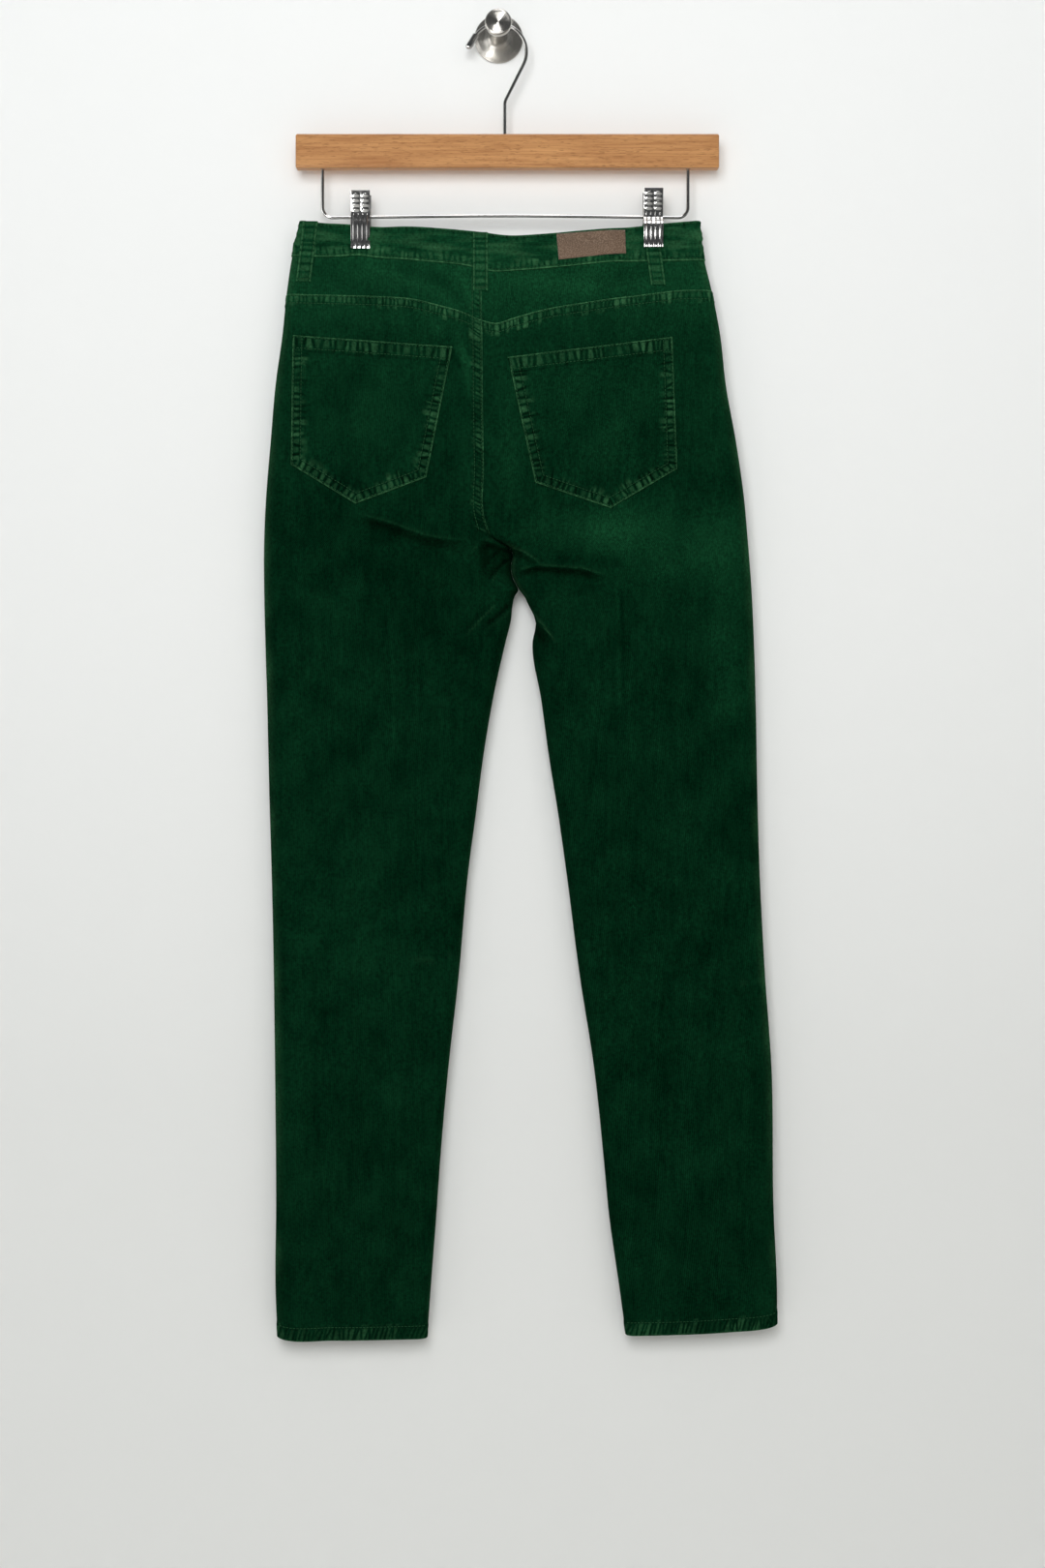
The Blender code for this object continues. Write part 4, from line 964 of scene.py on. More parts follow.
def pocket_relief(corners, seed):
    """Mouth hem along the first edge, a sewn border along the other four, and slack in the middle."""
    def relief(x, drop):
        inward, along = edge_distances(x, drop, corners)
        nearest = np.argmin(inward[1:], axis=0)[None]
        border = np.take_along_axis(inward[1:], nearest, axis=0)[0]
        place = np.take_along_axis(along[1:], nearest, axis=0)[0] + 31.0 * nearest[0]
        slack = 0.35 * waves(x, drop, 45, seed + 5) * eased(border, 8, 30)
        mouth = seam_relief(inward[0], along[0], MOUTH_BAND, 6.0, seed + 1, raised=0.55, deep=0.42, pale=0.9,
                            dip=0.9, rows=MOUTH_ROWS, dark=0.65)
        sides = seam_relief(border, place, POCKET_BAND, 5.4, seed, raised=0.45, deep=0.7, pale=0.9,
                            dip=POCKET_LIFT + 0.1, dark=0.8, reach=1.15)
        shadow = np.exp(-((inward[0] - MOUTH_BAND - 0.9) / 0.9) ** 2) * eased(border, 6, 16)
        at_side = (turned_edge(border, POCKET_LIFT + 0.1), 0.5 * np.exp(-((border - 0.75) / 0.6) ** 2))
        below = eased(inward[0], MOUTH_BAND - 0.8, MOUTH_BAND + 1.2)
        return together(faded(below, sides), faded(1 - below, together(mouth, at_side)),
                        (slack - 0.15 * shadow, -0.34 * shadow))
    return relief


def pocket_grid(corners, across, down):
    """Places of a pocket: straight lines from its top edge to its pointed bottom."""
    top_left, top_right, bottom_right, tip, bottom_left = corners
    tip_share = (tip[0] - bottom_left[0]) / (bottom_right[0] - bottom_left[0])
    across = np.sort(np.append(across[np.abs(across - tip_share) > 0.006], tip_share))
    top = top_left + (top_right - top_left) * across[:, None]
    bottom = np.stack([np.interp(across, (0, tip_share, 1), [p[k] for p in (bottom_left, tip, bottom_right)])
                       for k in (0, 1)], axis=-1)
    return top + (bottom - top) * np.asarray(down)[:, None, None]


pocket_shapes = {}
for side, *corners in BACK_POCKETS:
    corners = [np.array(corner) for corner in corners]
    if side == "right":
        corners = [corners[1], corners[0], corners[4], corners[3], corners[2]]
    places = pocket_grid(corners, spaced([(0, 145, 1.0)]), spaced([(0, 140, 1.0)]))
    relief = pocket_relief(np.array(corners), 31 if side == "left" else 41)
    pocket_shapes[side] = (np.array(corners), relief)
    cloth(f"back_pocket_{side}_cloth", places[..., 0], places[..., 1], "back", POCKET_WALL, relief,
          POCKET_LIFT)
    print(side, "pocket", places.shape[:2])

# %% [markdown]
# ### Waistband, belt loops and waist patch
#
# The waistband is a folded strip with its wales running round the waist. Hanging from two clips has pulled
# long wrinkles into it: waves stretched along the band, and one long roll that sags over a crease. Their
# colour is painted paler on the wrinkles' crests and the roll, as highlight, and darker in the crease, as
# painted shade. Its lower edge puckers like the other seams. Belt loops are narrow folded strips with a row
# of stitches near each edge, which ripples them like a ladder, with painted shade in the furrows and along
# the stitching. The patch is a bare rectangle of suede.

# %% Waistband, belt loops and patch
BELT_LOOP_WIDTH, LOOP_RIPPLE = 13.4, 0.45
# Columns: name, face, top_x, bottom_x, top, bottom.
BELT_LOOPS = [
    ("belt_loop_centre_back", "back", -16.0, -16.0, 181.5, 233.2),
    ("belt_loop_left_back", "back", -167.3, -173.6, 170.2, 224.2),
    ("belt_loop_right_back", "back", 134.8, 142.0, 172.8, 227.2),
    ("belt_loop_left_front", "front", -88.0, -89.0, 183.0, 236.0),
    ("belt_loop_right_front", "front", 100.0, 101.0, 184.0, 237.0),
]
LABEL = [(51.5, 183.0), (112.2, 178.3), (113.1, 199.2), (53.5, 205.9)]
LABEL_LIFT = BAND_RAISE + LAY_GAP + LABEL_WALL


def make_suede():
    """Brown suede: a base tone with clouds in its pile and fine pores, and the same pores as bump."""
    material, tree, shader = start_material("suede_patch", 0.85)
    place = add(tree, "TexCoord").outputs["Object"]
    clouds = add(tree, "TexNoise", {"Vector": place, "Scale": feature(14.0), "Detail": 4.0}).outputs["Fac"]
    pores = add(tree, "TexNoise", {"Vector": place, "Scale": feature(0.9), "Detail": 2.0}).outputs["Fac"]
    tone = add(tree, "MixRGB", {0: clouds, 1: linear("#42301f"), 2: linear("#6b523d")}).outputs[0]
    dusty = add(tree, "MapRange", {"Value": pores, "From Min": 0.42, "From Max": 0.68, "To Max": 0.6})
    colour = add(tree, "MixRGB", {0: dusty.outputs["Result"], 1: tone, 2: linear("#937c68")}).outputs[0]
    bump = add(tree, "Bump", {"Strength": 0.5, "Distance": 0.15 * MM, "Height": pores})
    feed(tree, shader, {"Base Color": colour, "Normal": bump.outputs["Normal"], "Sheen Weight": 0.25})
    return material


def band_relief(top, bottom):
    """Rolled top and bottom edges with stitches and puckers by each, and long wrinkles round the waist."""
    def relief(x, drop):
        from_top, from_bottom = drop - top(x), bottom(x) - drop
        middle = eased(from_top, 2, 6) * eased(from_bottom, 3, 8)
        wrinkles, lines = waves(x, drop, 9.0, 51, 4.5), waves(x, drop, 4.5, 56, 8.0)
        clouds = np.clip(0.35 + 0.5 * waves(x, drop, 30, 57), 0, 1)
        # One long roll sags along the middle, with a crease under it. The roll and the wrinkles' crests are
        # painted paler, as highlight, and the crease darker, as painted shade.
        sag = from_bottom - 11.0 - 2.0 * waves(x, 0 * x, 55, 58)
        roll = np.exp(-((sag - 2.5) / 3.0) ** 2) * (0.5 + 0.3 * waves(x, 0 * x, 40, 59))
        crease = np.exp(-((sag + 1.2) / 1.3) ** 2) * np.clip(0.4 + 0.5 * waves(x, 0 * x, 40, 59), 0, 1)
        return together(seam_relief(from_top, x, 4.0, 6.0, 52, raised=0.12, deep=0.3, pale=0.9, dip=0.9,
                                    rows=(2.0,)),
                        seam_relief(from_bottom, x, 9.0, 4.6, 53, raised=0.12, deep=0.4, pale=0.95, dip=0.95,
                                    rows=(2.2,), dark=0.45),
                        ((0.6 * wrinkles + 0.3 * lines) * middle + 1.0 * roll - 0.5 * crease,
                         (0.13 * wrinkles + 0.08 * lines + 0.16 * clouds) * middle + 0.16 * roll
                         - 0.38 * crease), side_wear(x, drop))
    return relief


def loop_ripple(x, drop):
    """Furrows and rubbed ridges of the ladder ripples across a belt loop."""
    return puckers(drop - 200 + 0 * x, 3.0 + 0 * x, 6.0, 5.0, 61)


def tack_dip(drop, top, bottom):
    """How far a belt loop's ends are pressed down by their bar tacks."""
    return 1.0 - eased(np.minimum(drop - top, bottom - drop), 0, 4.5)


def loop_lift(x, drop, face):
    """How far a belt loop stands off the surface: less below the waistband, which it lies on."""
    seam = (BACK_WAIST_SEAM if face == "back" else FRONT_WAIST_SEAM)(x)
    return LAY_GAP + LOOP_WALL + BAND_RAISE * (1 - eased(drop, seam + 4, seam + 14))


def loop_relief(top, bottom):
    """Rounded sides, ladder ripples across the loop, and both ends pressed down by their bar tacks."""
    def relief(x, drop):
        centre = x.mean(axis=1, keepdims=True)
        side = BELT_LOOP_WIDTH / 2 - np.abs(x - centre)
        window = eased(side, 0.3, 1.6)
        furrow, rubbed = loop_ripple(x, drop)
        height = -1.2 * (1 - rounding(side, 1.8)) - LOOP_RIPPLE * furrow * window - tack_dip(drop, top, bottom)
        # Pale: rubbed edges, and ripple crests that are rubbed and given a painted highlight.
        wear_and_light_tone = 0.12 + 0.22 * rubbed * window + 0.42 * np.exp(-((side - 0.9) / 0.7) ** 2)
        # Dark: painted shade in the ripples' furrows and in a line along each row of stitches.
        return height, wear_and_light_tone * (1 - furrow) - 0.5 * furrow * window - 0.3 * np.exp(-((side - 2.2) / 0.5) ** 2)
    return relief


def label_relief(x, drop):
    """Edges pressed down by their sewing, and slow waves with the waistband."""
    inward, _ = edge_distances(x, drop, np.array(LABEL))
    edge = rounding(inward.min(axis=0), 1.6)
    return -0.75 * (1 - edge) + 0.22 * waves(x, drop, 9, 51, 4.0), np.zeros(x.shape)


band_down = spaced([(0, 33, 1.2)])
band_across = spaced([(0, 170, 1.1)], (False, False))
band_bottom = shifted(BACK_WAIST_SEAM, -SEAM_GAP / 2)
halves = [panel_grid(*side_edges(side, "back"), BACK_WAIST_TOP, band_bottom, band_down, band_across,
                     folded(side)) for side in ("left", "right")]
x, drop = [np.concatenate([one, other[:, 1:]], axis=1) for one, other in zip(*halves)]
BACK_BAND_RELIEF = band_relief(BACK_WAIST_TOP, band_bottom)
cloth("waistband_back_cloth", x, drop, "back", BAND_WALL, BACK_BAND_RELIEF, BAND_RAISE,
      crosswise=True)
front_bottom = shifted(FRONT_WAIST_SEAM, -SEAM_GAP / 2)
for side in ("left", "right"):
    x, drop = panel_grid(*side_edges(side, "front"), FRONT_WAIST_TOP, front_bottom, spaced([(0, 33, 2.4)]),
                         spaced([(0, 170, 3.2)], (False, False)), folded(side))
    cloth(f"waistband_front_{side}_cloth", x, drop, "front", BAND_WALL,
          band_relief(FRONT_WAIST_TOP, front_bottom), BAND_RAISE,
          crosswise=True)

for name, face, top_x, bottom_x, top, bottom in BELT_LOOPS:
    down = spaced([(0, bottom - top, 1.2)])[:, None]
    x = top_x + (bottom_x - top_x) * down + BELT_LOOP_WIDTH * (spaced([(0, 13.4, 0.9)]) - 0.5)
    drop = np.broadcast_to(top + (bottom - top) * down, x.shape)
    cloth(f"{name}_cloth", x, drop, face, LOOP_WALL, loop_relief(top, bottom), loop_lift(x, drop, face))

SUEDE = make_suede()
label_across, label_down = spaced([(0, 60, 1.6)])[None, :, None], spaced([(0, 21, 1.4)])[:, None, None]
top_left, top_right, bottom_right, bottom_left = np.array(LABEL)
label_top = top_left + (top_right - top_left) * label_across
label_bottom = bottom_left + (bottom_right - bottom_left) * label_across
places = label_top + (label_bottom - label_top) * label_down
cloth("label_patch_cloth", places[..., 0], places[..., 1], "back", LABEL_WALL, label_relief, LABEL_LIFT,
      material=SUEDE, slot="brown_patch")
print("waistband, loops and patch:", triangles_in("waistband", "belt_loop", "label"))

# %% [markdown]
# ### The front
#
# The front hangs towards the wall. It has the pieces that five-pocket jeans must have: two legs cut away in a
# quarter ellipse at the pockets, a facing behind each opening, the small coin pocket on the right facing and
# a fly shaped like a J. They are made with the same functions on coarser grids.

# %% Front legs, facings, coin pocket and fly
SCOOP_WIDTH, SCOOP_DEPTH = 62.0, 74.0
FACING_LAP, FACING_WALL = 7.0, 1.2
FACING_LEVEL = -(CLOTH_WALL + LAY_GAP + SEAM_GAP)
COIN_TOP, COIN_BOTTOM, COIN_INSET, COIN_CLEARANCE = 24.0, 64.0, 14.0, 1.5
FLY_WIDTH, FLY_LENGTH, FLY_LAP = 36.0, 140.0, 5.0
FRONT_LEG_ROWS = [(222, 300, 2.4), (300, 440, 4.0), (440, 520, 2.5), (520, 1165, 7.0)]


def plain(x, drop):
    """No relief."""
    return np.zeros(x.shape), np.zeros(x.shape)


def scoop_offset(drop, seam_drop):
    """How far in from the side seam the pocket's opening runs, as a quarter of an ellipse."""
    t = np.clip((drop - seam_drop) / SCOOP_DEPTH, 0, 1)
    return SCOOP_WIDTH * np.sqrt(1 - t * t)


FRONT_LEG_RELIEF = leg_relief(FRONT_WAIST_SEAM)

for side in ("left", "right"):
    left, right = side_edges(side, "front")
    sign = 1 if side == "left" else -1
    outer, inner = (left, right) if side == "left" else (right, left)
    seam_drop = float(FRONT_WAIST_SEAM(outer(np.array(205.0))))
    top = shifted(FRONT_WAIST_SEAM, SEAM_GAP / 2)

    def cut_edge(drop, outer=outer, sign=sign, seam_drop=seam_drop):
        return outer(drop) + sign * scoop_offset(drop, seam_drop)

    def facing_edge(drop, sign=sign, cut_edge=cut_edge):
        return cut_edge(drop) + sign * FACING_LAP

    hem = hem_strip("front", side, 1.2)
    x, drop = panel_grid(*(cut_edge, inner)[::sign], top, HEM, spaced(FRONT_LEG_ROWS),
                         spaced([(0, 180, 3.4)]), folded(side))
    cloth(f"front_leg_{side}_cloth", x, drop, "front", CLOTH_WALL, FRONT_LEG_RELIEF)
    x, drop = panel_grid(*(outer, facing_edge)[::sign], top,
                         lambda x, end=seam_drop + SCOOP_DEPTH: np.full(np.shape(x), end),
                         np.sqrt(np.linspace(0, 1, 24)), np.linspace(0, 1, 14), folded(side))
    cloth(f"front_pocket_facing_{side}_cloth", x, drop, "front", FACING_WALL, plain, FACING_LEVEL)
    if side == "right":
        drop = np.linspace(seam_drop + COIN_TOP, seam_drop + COIN_BOTTOM, 24)[:, None]
        edges = cut_edge(drop) + COIN_CLEARANCE, outer(drop) - COIN_INSET
        x = edges[0] + (edges[1] - edges[0]) * np.linspace(0, 1, 18)
        cloth("coin_pocket_cloth", x, drop, "front", FACING_WALL, plain,
              FACING_LEVEL + LAY_GAP + FACING_WALL)

down, across = spaced([(0, 140, 2.4)])[:, None], spaced([(0, 36, 1.8)])
middle = CENTRE["front_middle"](FRONT_WAIST_SEAM(14.0) + SEAM_GAP + FLY_LENGTH * down)
width = FLY_WIDTH * np.sqrt(1 - (0.985 * down) ** 4)
x = middle + FLY_LAP - (width + FLY_LAP) * (1 - across)
drop = FRONT_WAIST_SEAM(x) + 2 * SEAM_GAP + FLY_LENGTH * down
cloth("fly_cloth", x, drop, "front", POCKET_WALL, plain, LAY_GAP + POCKET_WALL)
print("cloth so far:", sum(made_triangles.values()), "triangles")

# %% [markdown]
# ## Stitching
#
# A lockstitch row is a string of short thread arcs, each of which dives into the cloth at both ends. One
# stitch is a bent tube with five sides. A whole row is worked out at once: places along the path, points on
# the surface at those places, and a ring of points round each. The stitches here are 2.3 mm long and repeat
# every 3.1 mm. The thread is 0.6 mm thick, slightly more than the real one, so that rows read from afar.

# %% Rows of stitches
STITCH_PITCH, STITCH_LENGTH, THREAD_RADIUS = 3.1, 2.3, 0.3
STITCH_STEPS = np.array([0.0, 0.16, 0.5, 0.84, 1.0])
STITCH_RISE = np.array([-0.30, 0.08, 0.24, 0.08, -0.30])
THREAD_SIDES = 5


def stitches(x, drop, face, height, pitch=STITCH_PITCH, length=STITCH_LENGTH):
    """Rings of points for a row along a path, on cloth that stands height(x, drop) off the surface."""
    run = np.concatenate([[0], np.cumsum(np.hypot(np.diff(x), np.diff(drop)))])
    count = max(1, int(run[-1] / pitch))
    start = (run[-1] - count * pitch + pitch - length) / 2 + pitch * np.arange(count)
    where = start[:, None] + length * STITCH_STEPS
    place = np.interp(where, run, x), np.interp(where, run, drop)
    points, normals = surface(*place, face)
    centres = points + normals * (height(*place) + STITCH_RISE)[..., None]
    along = np.gradient(centres, axis=1)
    side = np.cross(along, normals)
    side /= np.linalg.norm(side, axis=-1, keepdims=True)
    up = np.cross(side, along)
    up /= np.linalg.norm(up, axis=-1, keepdims=True)
    angles = 2 * math.pi * np.arange(THREAD_SIDES) / THREAD_SIDES
    round_it = (np.cos(angles)[:, None] * side[:, :, None] + np.sin(angles)[:, None] * up[:, :, None])
    return centres[:, :, None] + THREAD_RADIUS * round_it


def sew(name, rows):
    """One object from several rows of stitches: quads between rings, and a pentagon on each end."""
    rings = np.concatenate(rows)
    number = np.arange(rings.size // 3).reshape(rings.shape[:3])
    near, far = number[:, :-1], number[:, 1:]
    quads = np.stack([near, far, np.roll(far, -1, axis=2), np.roll(near, -1, axis=2)], axis=-1).reshape(-1, 4)
    ends = np.concatenate([number[:, 0], number[:, -1, ::-1]])
    add_mesh(name, rings.reshape(-1, 3), quads.tolist() + ends.tolist(), THREAD, "green_corduroy")
    print(name, len(rings), "stitches,", made_triangles[name], "triangles")


def raised(relief, lift=0.0):
    """Height function of a piece, from its relief and its lift."""
    return lambda x, drop: relief(x, drop)[0] + lift


def inset_path(corners, distances):
    """Corners of a straight-edged shape after each edge has moved in by its own distance."""
    lines = [(normal, normal @ start + distance)
             for (start, _, normal), distance in zip(edge_frames(corners), distances)]
    return np.array([np.linalg.solve([before, after], [level, next_level])
                     for (before, level), (after, next_level) in zip(lines[-1:] + lines[:-1], lines)])


def row_between(points):
    """Path through corner points, with a point every millimetre."""
    run = np.concatenate([[0], np.cumsum(np.linalg.norm(np.diff(points, axis=0), axis=1))])
    at = np.linspace(0, run[-1], int(run[-1]) + 2)
    return np.interp(at, run, points[:, 0]), np.interp(at, run, points[:, 1])


def across_half(side, face, drop, count):
    """Places x from edge to edge of one half at a drop, 1 mm in from both."""
    left, right = [float(edge(np.array(drop))) for edge in side_edges(side, face)]
    return np.linspace(left + 1.0, right - 1.0, count)


def hem_row(side, face):
    """Row of stitches that holds up one leg's hem."""
    x = across_half(side, face, 1152.0, 160)
    return stitches(x, HEM(x) + HEM_OVERHANG - HEM_ROW, face, raised(hem_band(face)))


def waist_rows(face, top, bottom, relief):
    """Rows along the top and the bottom edge of the waistband."""
    return [stitches(x, line(x) + offset, face, raised(relief, BAND_RAISE))
            for line, offset, x in ((top, 1.9, np.linspace(-175.5, 178.0, 400)),
                                    (bottom, -2.1, np.linspace(-183.5, 182.0, 400)))]


rows = []
for side in ("left", "right"):
    x = across_half(side, "back", 250.0, 200)
    rows += [stitches(x, YOKE_SEAM(x) - BAND_LAP + offset, "back", raised(yoke_band)) for offset in FELL_ROWS]
    rows.append(hem_row(side, "back"))
for offset in FELL_ROWS:                                            # seat seam
    drop = np.linspace(SEAT_TOP + 4, SEAT_END - 6, 400)
    rows.append(stitches(inner_edges(drop, "back")[0] + BAND_LAP - offset, drop, "back", raised(seat_band)))
sew("stitches_back_panels", rows)

rows = []
for side, (corners, relief) in pocket_shapes.items():
    height = raised(relief, POCKET_LIFT)
    for offset in FELL_ROWS:
        border = inset_path(corners, (0.8, offset, offset, offset, offset))
        rows.append(stitches(*row_between(np.roll(border, -1, axis=0)), "back", height))
    for offset in MOUTH_ROWS:
        mouth = inset_path(corners, (offset, 2.0, 2.0, 2.0, 2.0))
        rows.append(stitches(*row_between(mouth[:2]), "back", height))
sew("stitches_back_pockets", rows)

rows = waist_rows("back", BACK_WAIST_TOP, BACK_WAIST_SEAM, BACK_BAND_RELIEF)
for name, face, top_x, bottom_x, top, bottom in BELT_LOOPS:
    def on_loop(x, drop, face=face, top=top, bottom=bottom):
        ripple = LOOP_RIPPLE * loop_ripple(x, drop)[0]
        return loop_lift(x, drop, face) - ripple - tack_dip(drop, top, bottom)

    drop = np.linspace(top + 1.2, bottom - 1.2, 60)
    centre = top_x + (bottom_x - top_x) * (drop - top) / (bottom - top)
    for offset in (-4.9, 4.9):
        rows.append(stitches(centre + offset, drop, face, on_loop))
    for at in (top + 1.6, top + 2.5, bottom - 2.5, bottom - 1.6):   # bar tacks
        middle = top_x + (bottom_x - top_x) * (at - top) / (bottom - top)
        rows.append(stitches(middle + np.linspace(-5.5, 5.5, 12), np.full(12, at), face, on_loop, 1.9, 1.8))
sew("stitches_waist", rows)

rows = waist_rows("front", FRONT_WAIST_TOP, FRONT_WAIST_SEAM, band_relief(FRONT_WAIST_TOP, front_bottom))
for side, (outer_edge, sign) in {"left": ("left_edge", 1), "right": ("right_edge", -1)}.items():
    seam_drop = float(FRONT_WAIST_SEAM(SECTION[outer_edge](205.0)))
    t = np.linspace(0.06, 0.985, 120)
    drop = seam_drop + SCOOP_DEPTH * t + 1.0
    cut = SECTION[outer_edge](drop) + sign * scoop_offset(drop, seam_drop)
    for offset in (2.0, 8.0):
        rows.append(stitches(cut + sign * offset, drop + 0.5 * offset * t, "front", raised(FRONT_LEG_RELIEF)))
    rows.append(hem_row(side, "front"))
t = np.linspace(0.03, 0.99, 160)
for offset in (3.0, 9.0):
    middle = CENTRE["front_middle"](FRONT_WAIST_SEAM(14.0) + SEAM_GAP + FLY_LENGTH * t)
    x = middle + FLY_LAP - (FLY_WIDTH - offset) * np.sqrt(1 - (0.985 * t) ** 4) - FLY_LAP
    rows.append(stitches(x, FRONT_WAIST_SEAM(x) + (FLY_LENGTH - offset) * t, "front",
                         raised(plain, LAY_GAP + POCKET_WALL)))
sew("stitches_front", rows)

# %% [markdown]
# ## Hanger
#
# The bar is planed beech with eased edges. Beech has straight, close grain along the bar, in slightly uneven
# bands, and short dark flecks, called rays, that give the species away. Both patterns are noise stretched
# along x. The lower edge is left bare. Where the wires enter there is no hole in the wood: a small dark ring
# is painted there, as the shade of a hole.

# %% Beech bar
BAR_LEFT, BAR_RIGHT = -180.7, 196.5
BAR_TOP, BAR_HEIGHT, BAR_DEPTH = 92.0, 30.2, 12.0
BAR_ROUNDING = 1.8
WIRE_RADIUS, WIRE_LEFT, WIRE_RIGHT = 1.5, -157.0, 169.1
HOOK_SHANK_X = 5.6


def make_beech():
    """Bands and rays stretched along the bar, and a ring of painted shade where each wire enters."""
    material, tree, shader = start_material("lacquered_beech", 0.42)
    place = add(tree, "TexCoord").outputs["Object"]
    long = add(tree, "Mapping", {"Vector": place, "Scale": (0.035, 1.0, 1.0)}).outputs["Vector"]
    bands = add(tree, "TexNoise", {"Vector": long, "Scale": feature(2.6), "Detail": 6.0, "Roughness": 0.65,
                                   "Distortion": 0.6}).outputs["Fac"]
    rays_place = add(tree, "Mapping", {"Vector": place, "Scale": (0.13, 1.0, 1.0)}).outputs["Vector"]
    rays = add(tree, "TexNoise", {"Vector": rays_place, "Scale": feature(0.8), "Detail": 1.0}).outputs["Fac"]
    tone = add(tree, "MapRange", {"Value": bands, "From Min": 0.3, "From Max": 0.7}).outputs["Result"]
    wood = add(tree, "MixRGB", {0: tone, 1: linear("#a36c3e"), 2: linear("#cf9860")}).outputs[0]
    fleck = add(tree, "MapRange", {"Value": rays, "From Min": 0.58, "From Max": 0.70, "To Max": 0.6})
    flecked = add(tree, "MixRGB", {0: fleck.outputs["Result"], 1: wood, 2: linear("#8a5a33")}).outputs[0]
    # Painted shade: a dark ring where each wire enters the bar, standing in for its hole.
    hole_shade, bottom = None, BAR_TOP + BAR_HEIGHT
    for x, drop in ((WIRE_LEFT, bottom), (WIRE_RIGHT, bottom), (HOOK_SHANK_X, BAR_TOP)):
        hole = (x * MM, HANG_PLANE * MM, -drop * MM)
        off = add(tree, "VectorMath", {0: place, 1: hole}, operation="DISTANCE").outputs["Value"]
        ring = add(tree, "MapRange", {"Value": off, "From Min": 1.8 * MM, "From Max": 2.6 * MM,
                                      "To Min": 0.85, "To Max": 0.0}).outputs["Result"]
        hole_shade = add(tree, "Math", {0: hole_shade, 1: ring}, operation="MAXIMUM").outputs[0] if hole_shade else ring
    colour = add(tree, "MixRGB", {0: hole_shade, 1: flecked, 2: linear("#2b1d12")}).outputs[0]
    bump = add(tree, "Bump", {"Strength": 0.25, "Distance": 0.1 * MM, "Height": bands})
    feed(tree, shader, {"Base Color": colour, "Normal": bump.outputs["Normal"], "Specular IOR Level": 0.3})
    return material


def closed_rings(rings):
    """Faces of a tube through rings of equally many points, with one many-sided face on each end."""
    count, sides = rings.shape[:2]
    number = np.arange(count * sides).reshape(count, sides)
    near, far = number[:-1], number[1:]
    quads = np.stack([near, np.roll(near, -1, axis=1), np.roll(far, -1, axis=1), far], axis=-1)
    return quads.reshape(-1, 4).tolist() + [number[0, ::-1].tolist(), number[-1].tolist()]


def make_bar():
    """Rounded rectangle carried along x. Near each end it shrinks by the same rounding."""
    quarter = np.linspace(0, math.pi / 2, 7)
    ends = BAR_ROUNDING * (1 - np.cos(quarter)), BAR_ROUNDING * (1 - np.sin(quarter))
    stations = [(BAR_LEFT + run, inset) for run, inset in zip(*ends)]
    stations += [(x, 0.0) for x in np.linspace(BAR_LEFT + 12, BAR_RIGHT - 12, 40)]
    stations += [(BAR_RIGHT - run, inset) for run, inset in reversed(list(zip(*ends)))]
    rings = []
    for x, inset in stations:
        ring = []
        for corner, (sign_y, sign_z) in enumerate(((1, 1), (-1, 1), (-1, -1), (1, -1))):
            angles = quarter + corner * math.pi / 2
            ring += [(x, sign_y * (BAR_DEPTH / 2 - BAR_ROUNDING) + (BAR_ROUNDING - inset) * math.cos(a),
                      sign_z * (BAR_HEIGHT / 2 - BAR_ROUNDING) + (BAR_ROUNDING - inset) * math.sin(a))
                     for a in angles]
        rings.append(ring)
    rings = np.array(rings) + (0, HANG_PLANE, -(BAR_TOP + BAR_HEIGHT / 2))
    item = add_mesh("hanger_bar_wood", rings.reshape(-1, 3), closed_rings(rings), make_beech(), "beech")
    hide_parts("hanger_bar")


make_bar()
print("bar", round(BAR_RIGHT - BAR_LEFT), "mm long,", made_triangles["hanger_bar_wood"], "triangles")

# %% [markdown]
# ### Wires and hook
#
# Hook and trouser wire are 3 mm steel wire, drawn, bent and nickel plated. A round wire is a circle carried
# along its bent path. The hook's cap is a short tube with a domed end. Plated steel is a mirror with a
# slight haze, so its look is mostly what it reflects. Fine scratches and a little cloudiness in the
# roughness keep it from looking like liquid.

# %% Nickel-plated wires
HOOK_RADIUS, HOOK_CENTRE_DROP, HOOK_TIP_ANGLE = 25.0, 17.5, 149.0
HOOK_LEAN, HOOK_BEND_RADIUS = (-0.449, 0.894), 12.0
TIP_LENGTH, TIP_RADIUS = 11.5, 3.0
WIRE_DROP, WIRE_ARCH, WIRE_BEND_RADIUS, WIRE_ARCH_RADIUS = 165.5, 2.0, 9.0, 4000.0
BEND_STEPS = 18             # straight pieces that an arc of a wire is made of


def make_nickel():
    """Bright metal with clouds in its roughness and fine scratches as bump."""
    material, tree, shader = start_material("nickel_plated_steel", 0.2, 1.0)
    place = add(tree, "TexCoord").outputs["Object"]
    haze = add(tree, "TexNoise", {"Vector": place, "Scale": feature(6.0), "Detail": 4.0}).outputs["Fac"]
    rough = add(tree, "MapRange", {"Value": haze, "From Min": 0.3, "From Max": 0.7, "To Min": 0.14,
                                   "To Max": 0.22}).outputs["Result"]
    fine = add(tree, "Mapping", {"Vector": place, "Scale": (1.0, 1.0, 0.2)}).outputs["Vector"]
    scratch = add(tree, "TexNoise", {"Vector": fine, "Scale": feature(0.5)}).outputs["Fac"]
    bump = add(tree, "Bump", {"Strength": 0.05, "Distance": 0.05 * MM, "Height": scratch})
    feed(tree, shader, {"Base Color": linear("#b9b8b6"), "Roughness": rough,
                        "Normal": bump.outputs["Normal"]})
    return material


NICKEL = make_nickel()


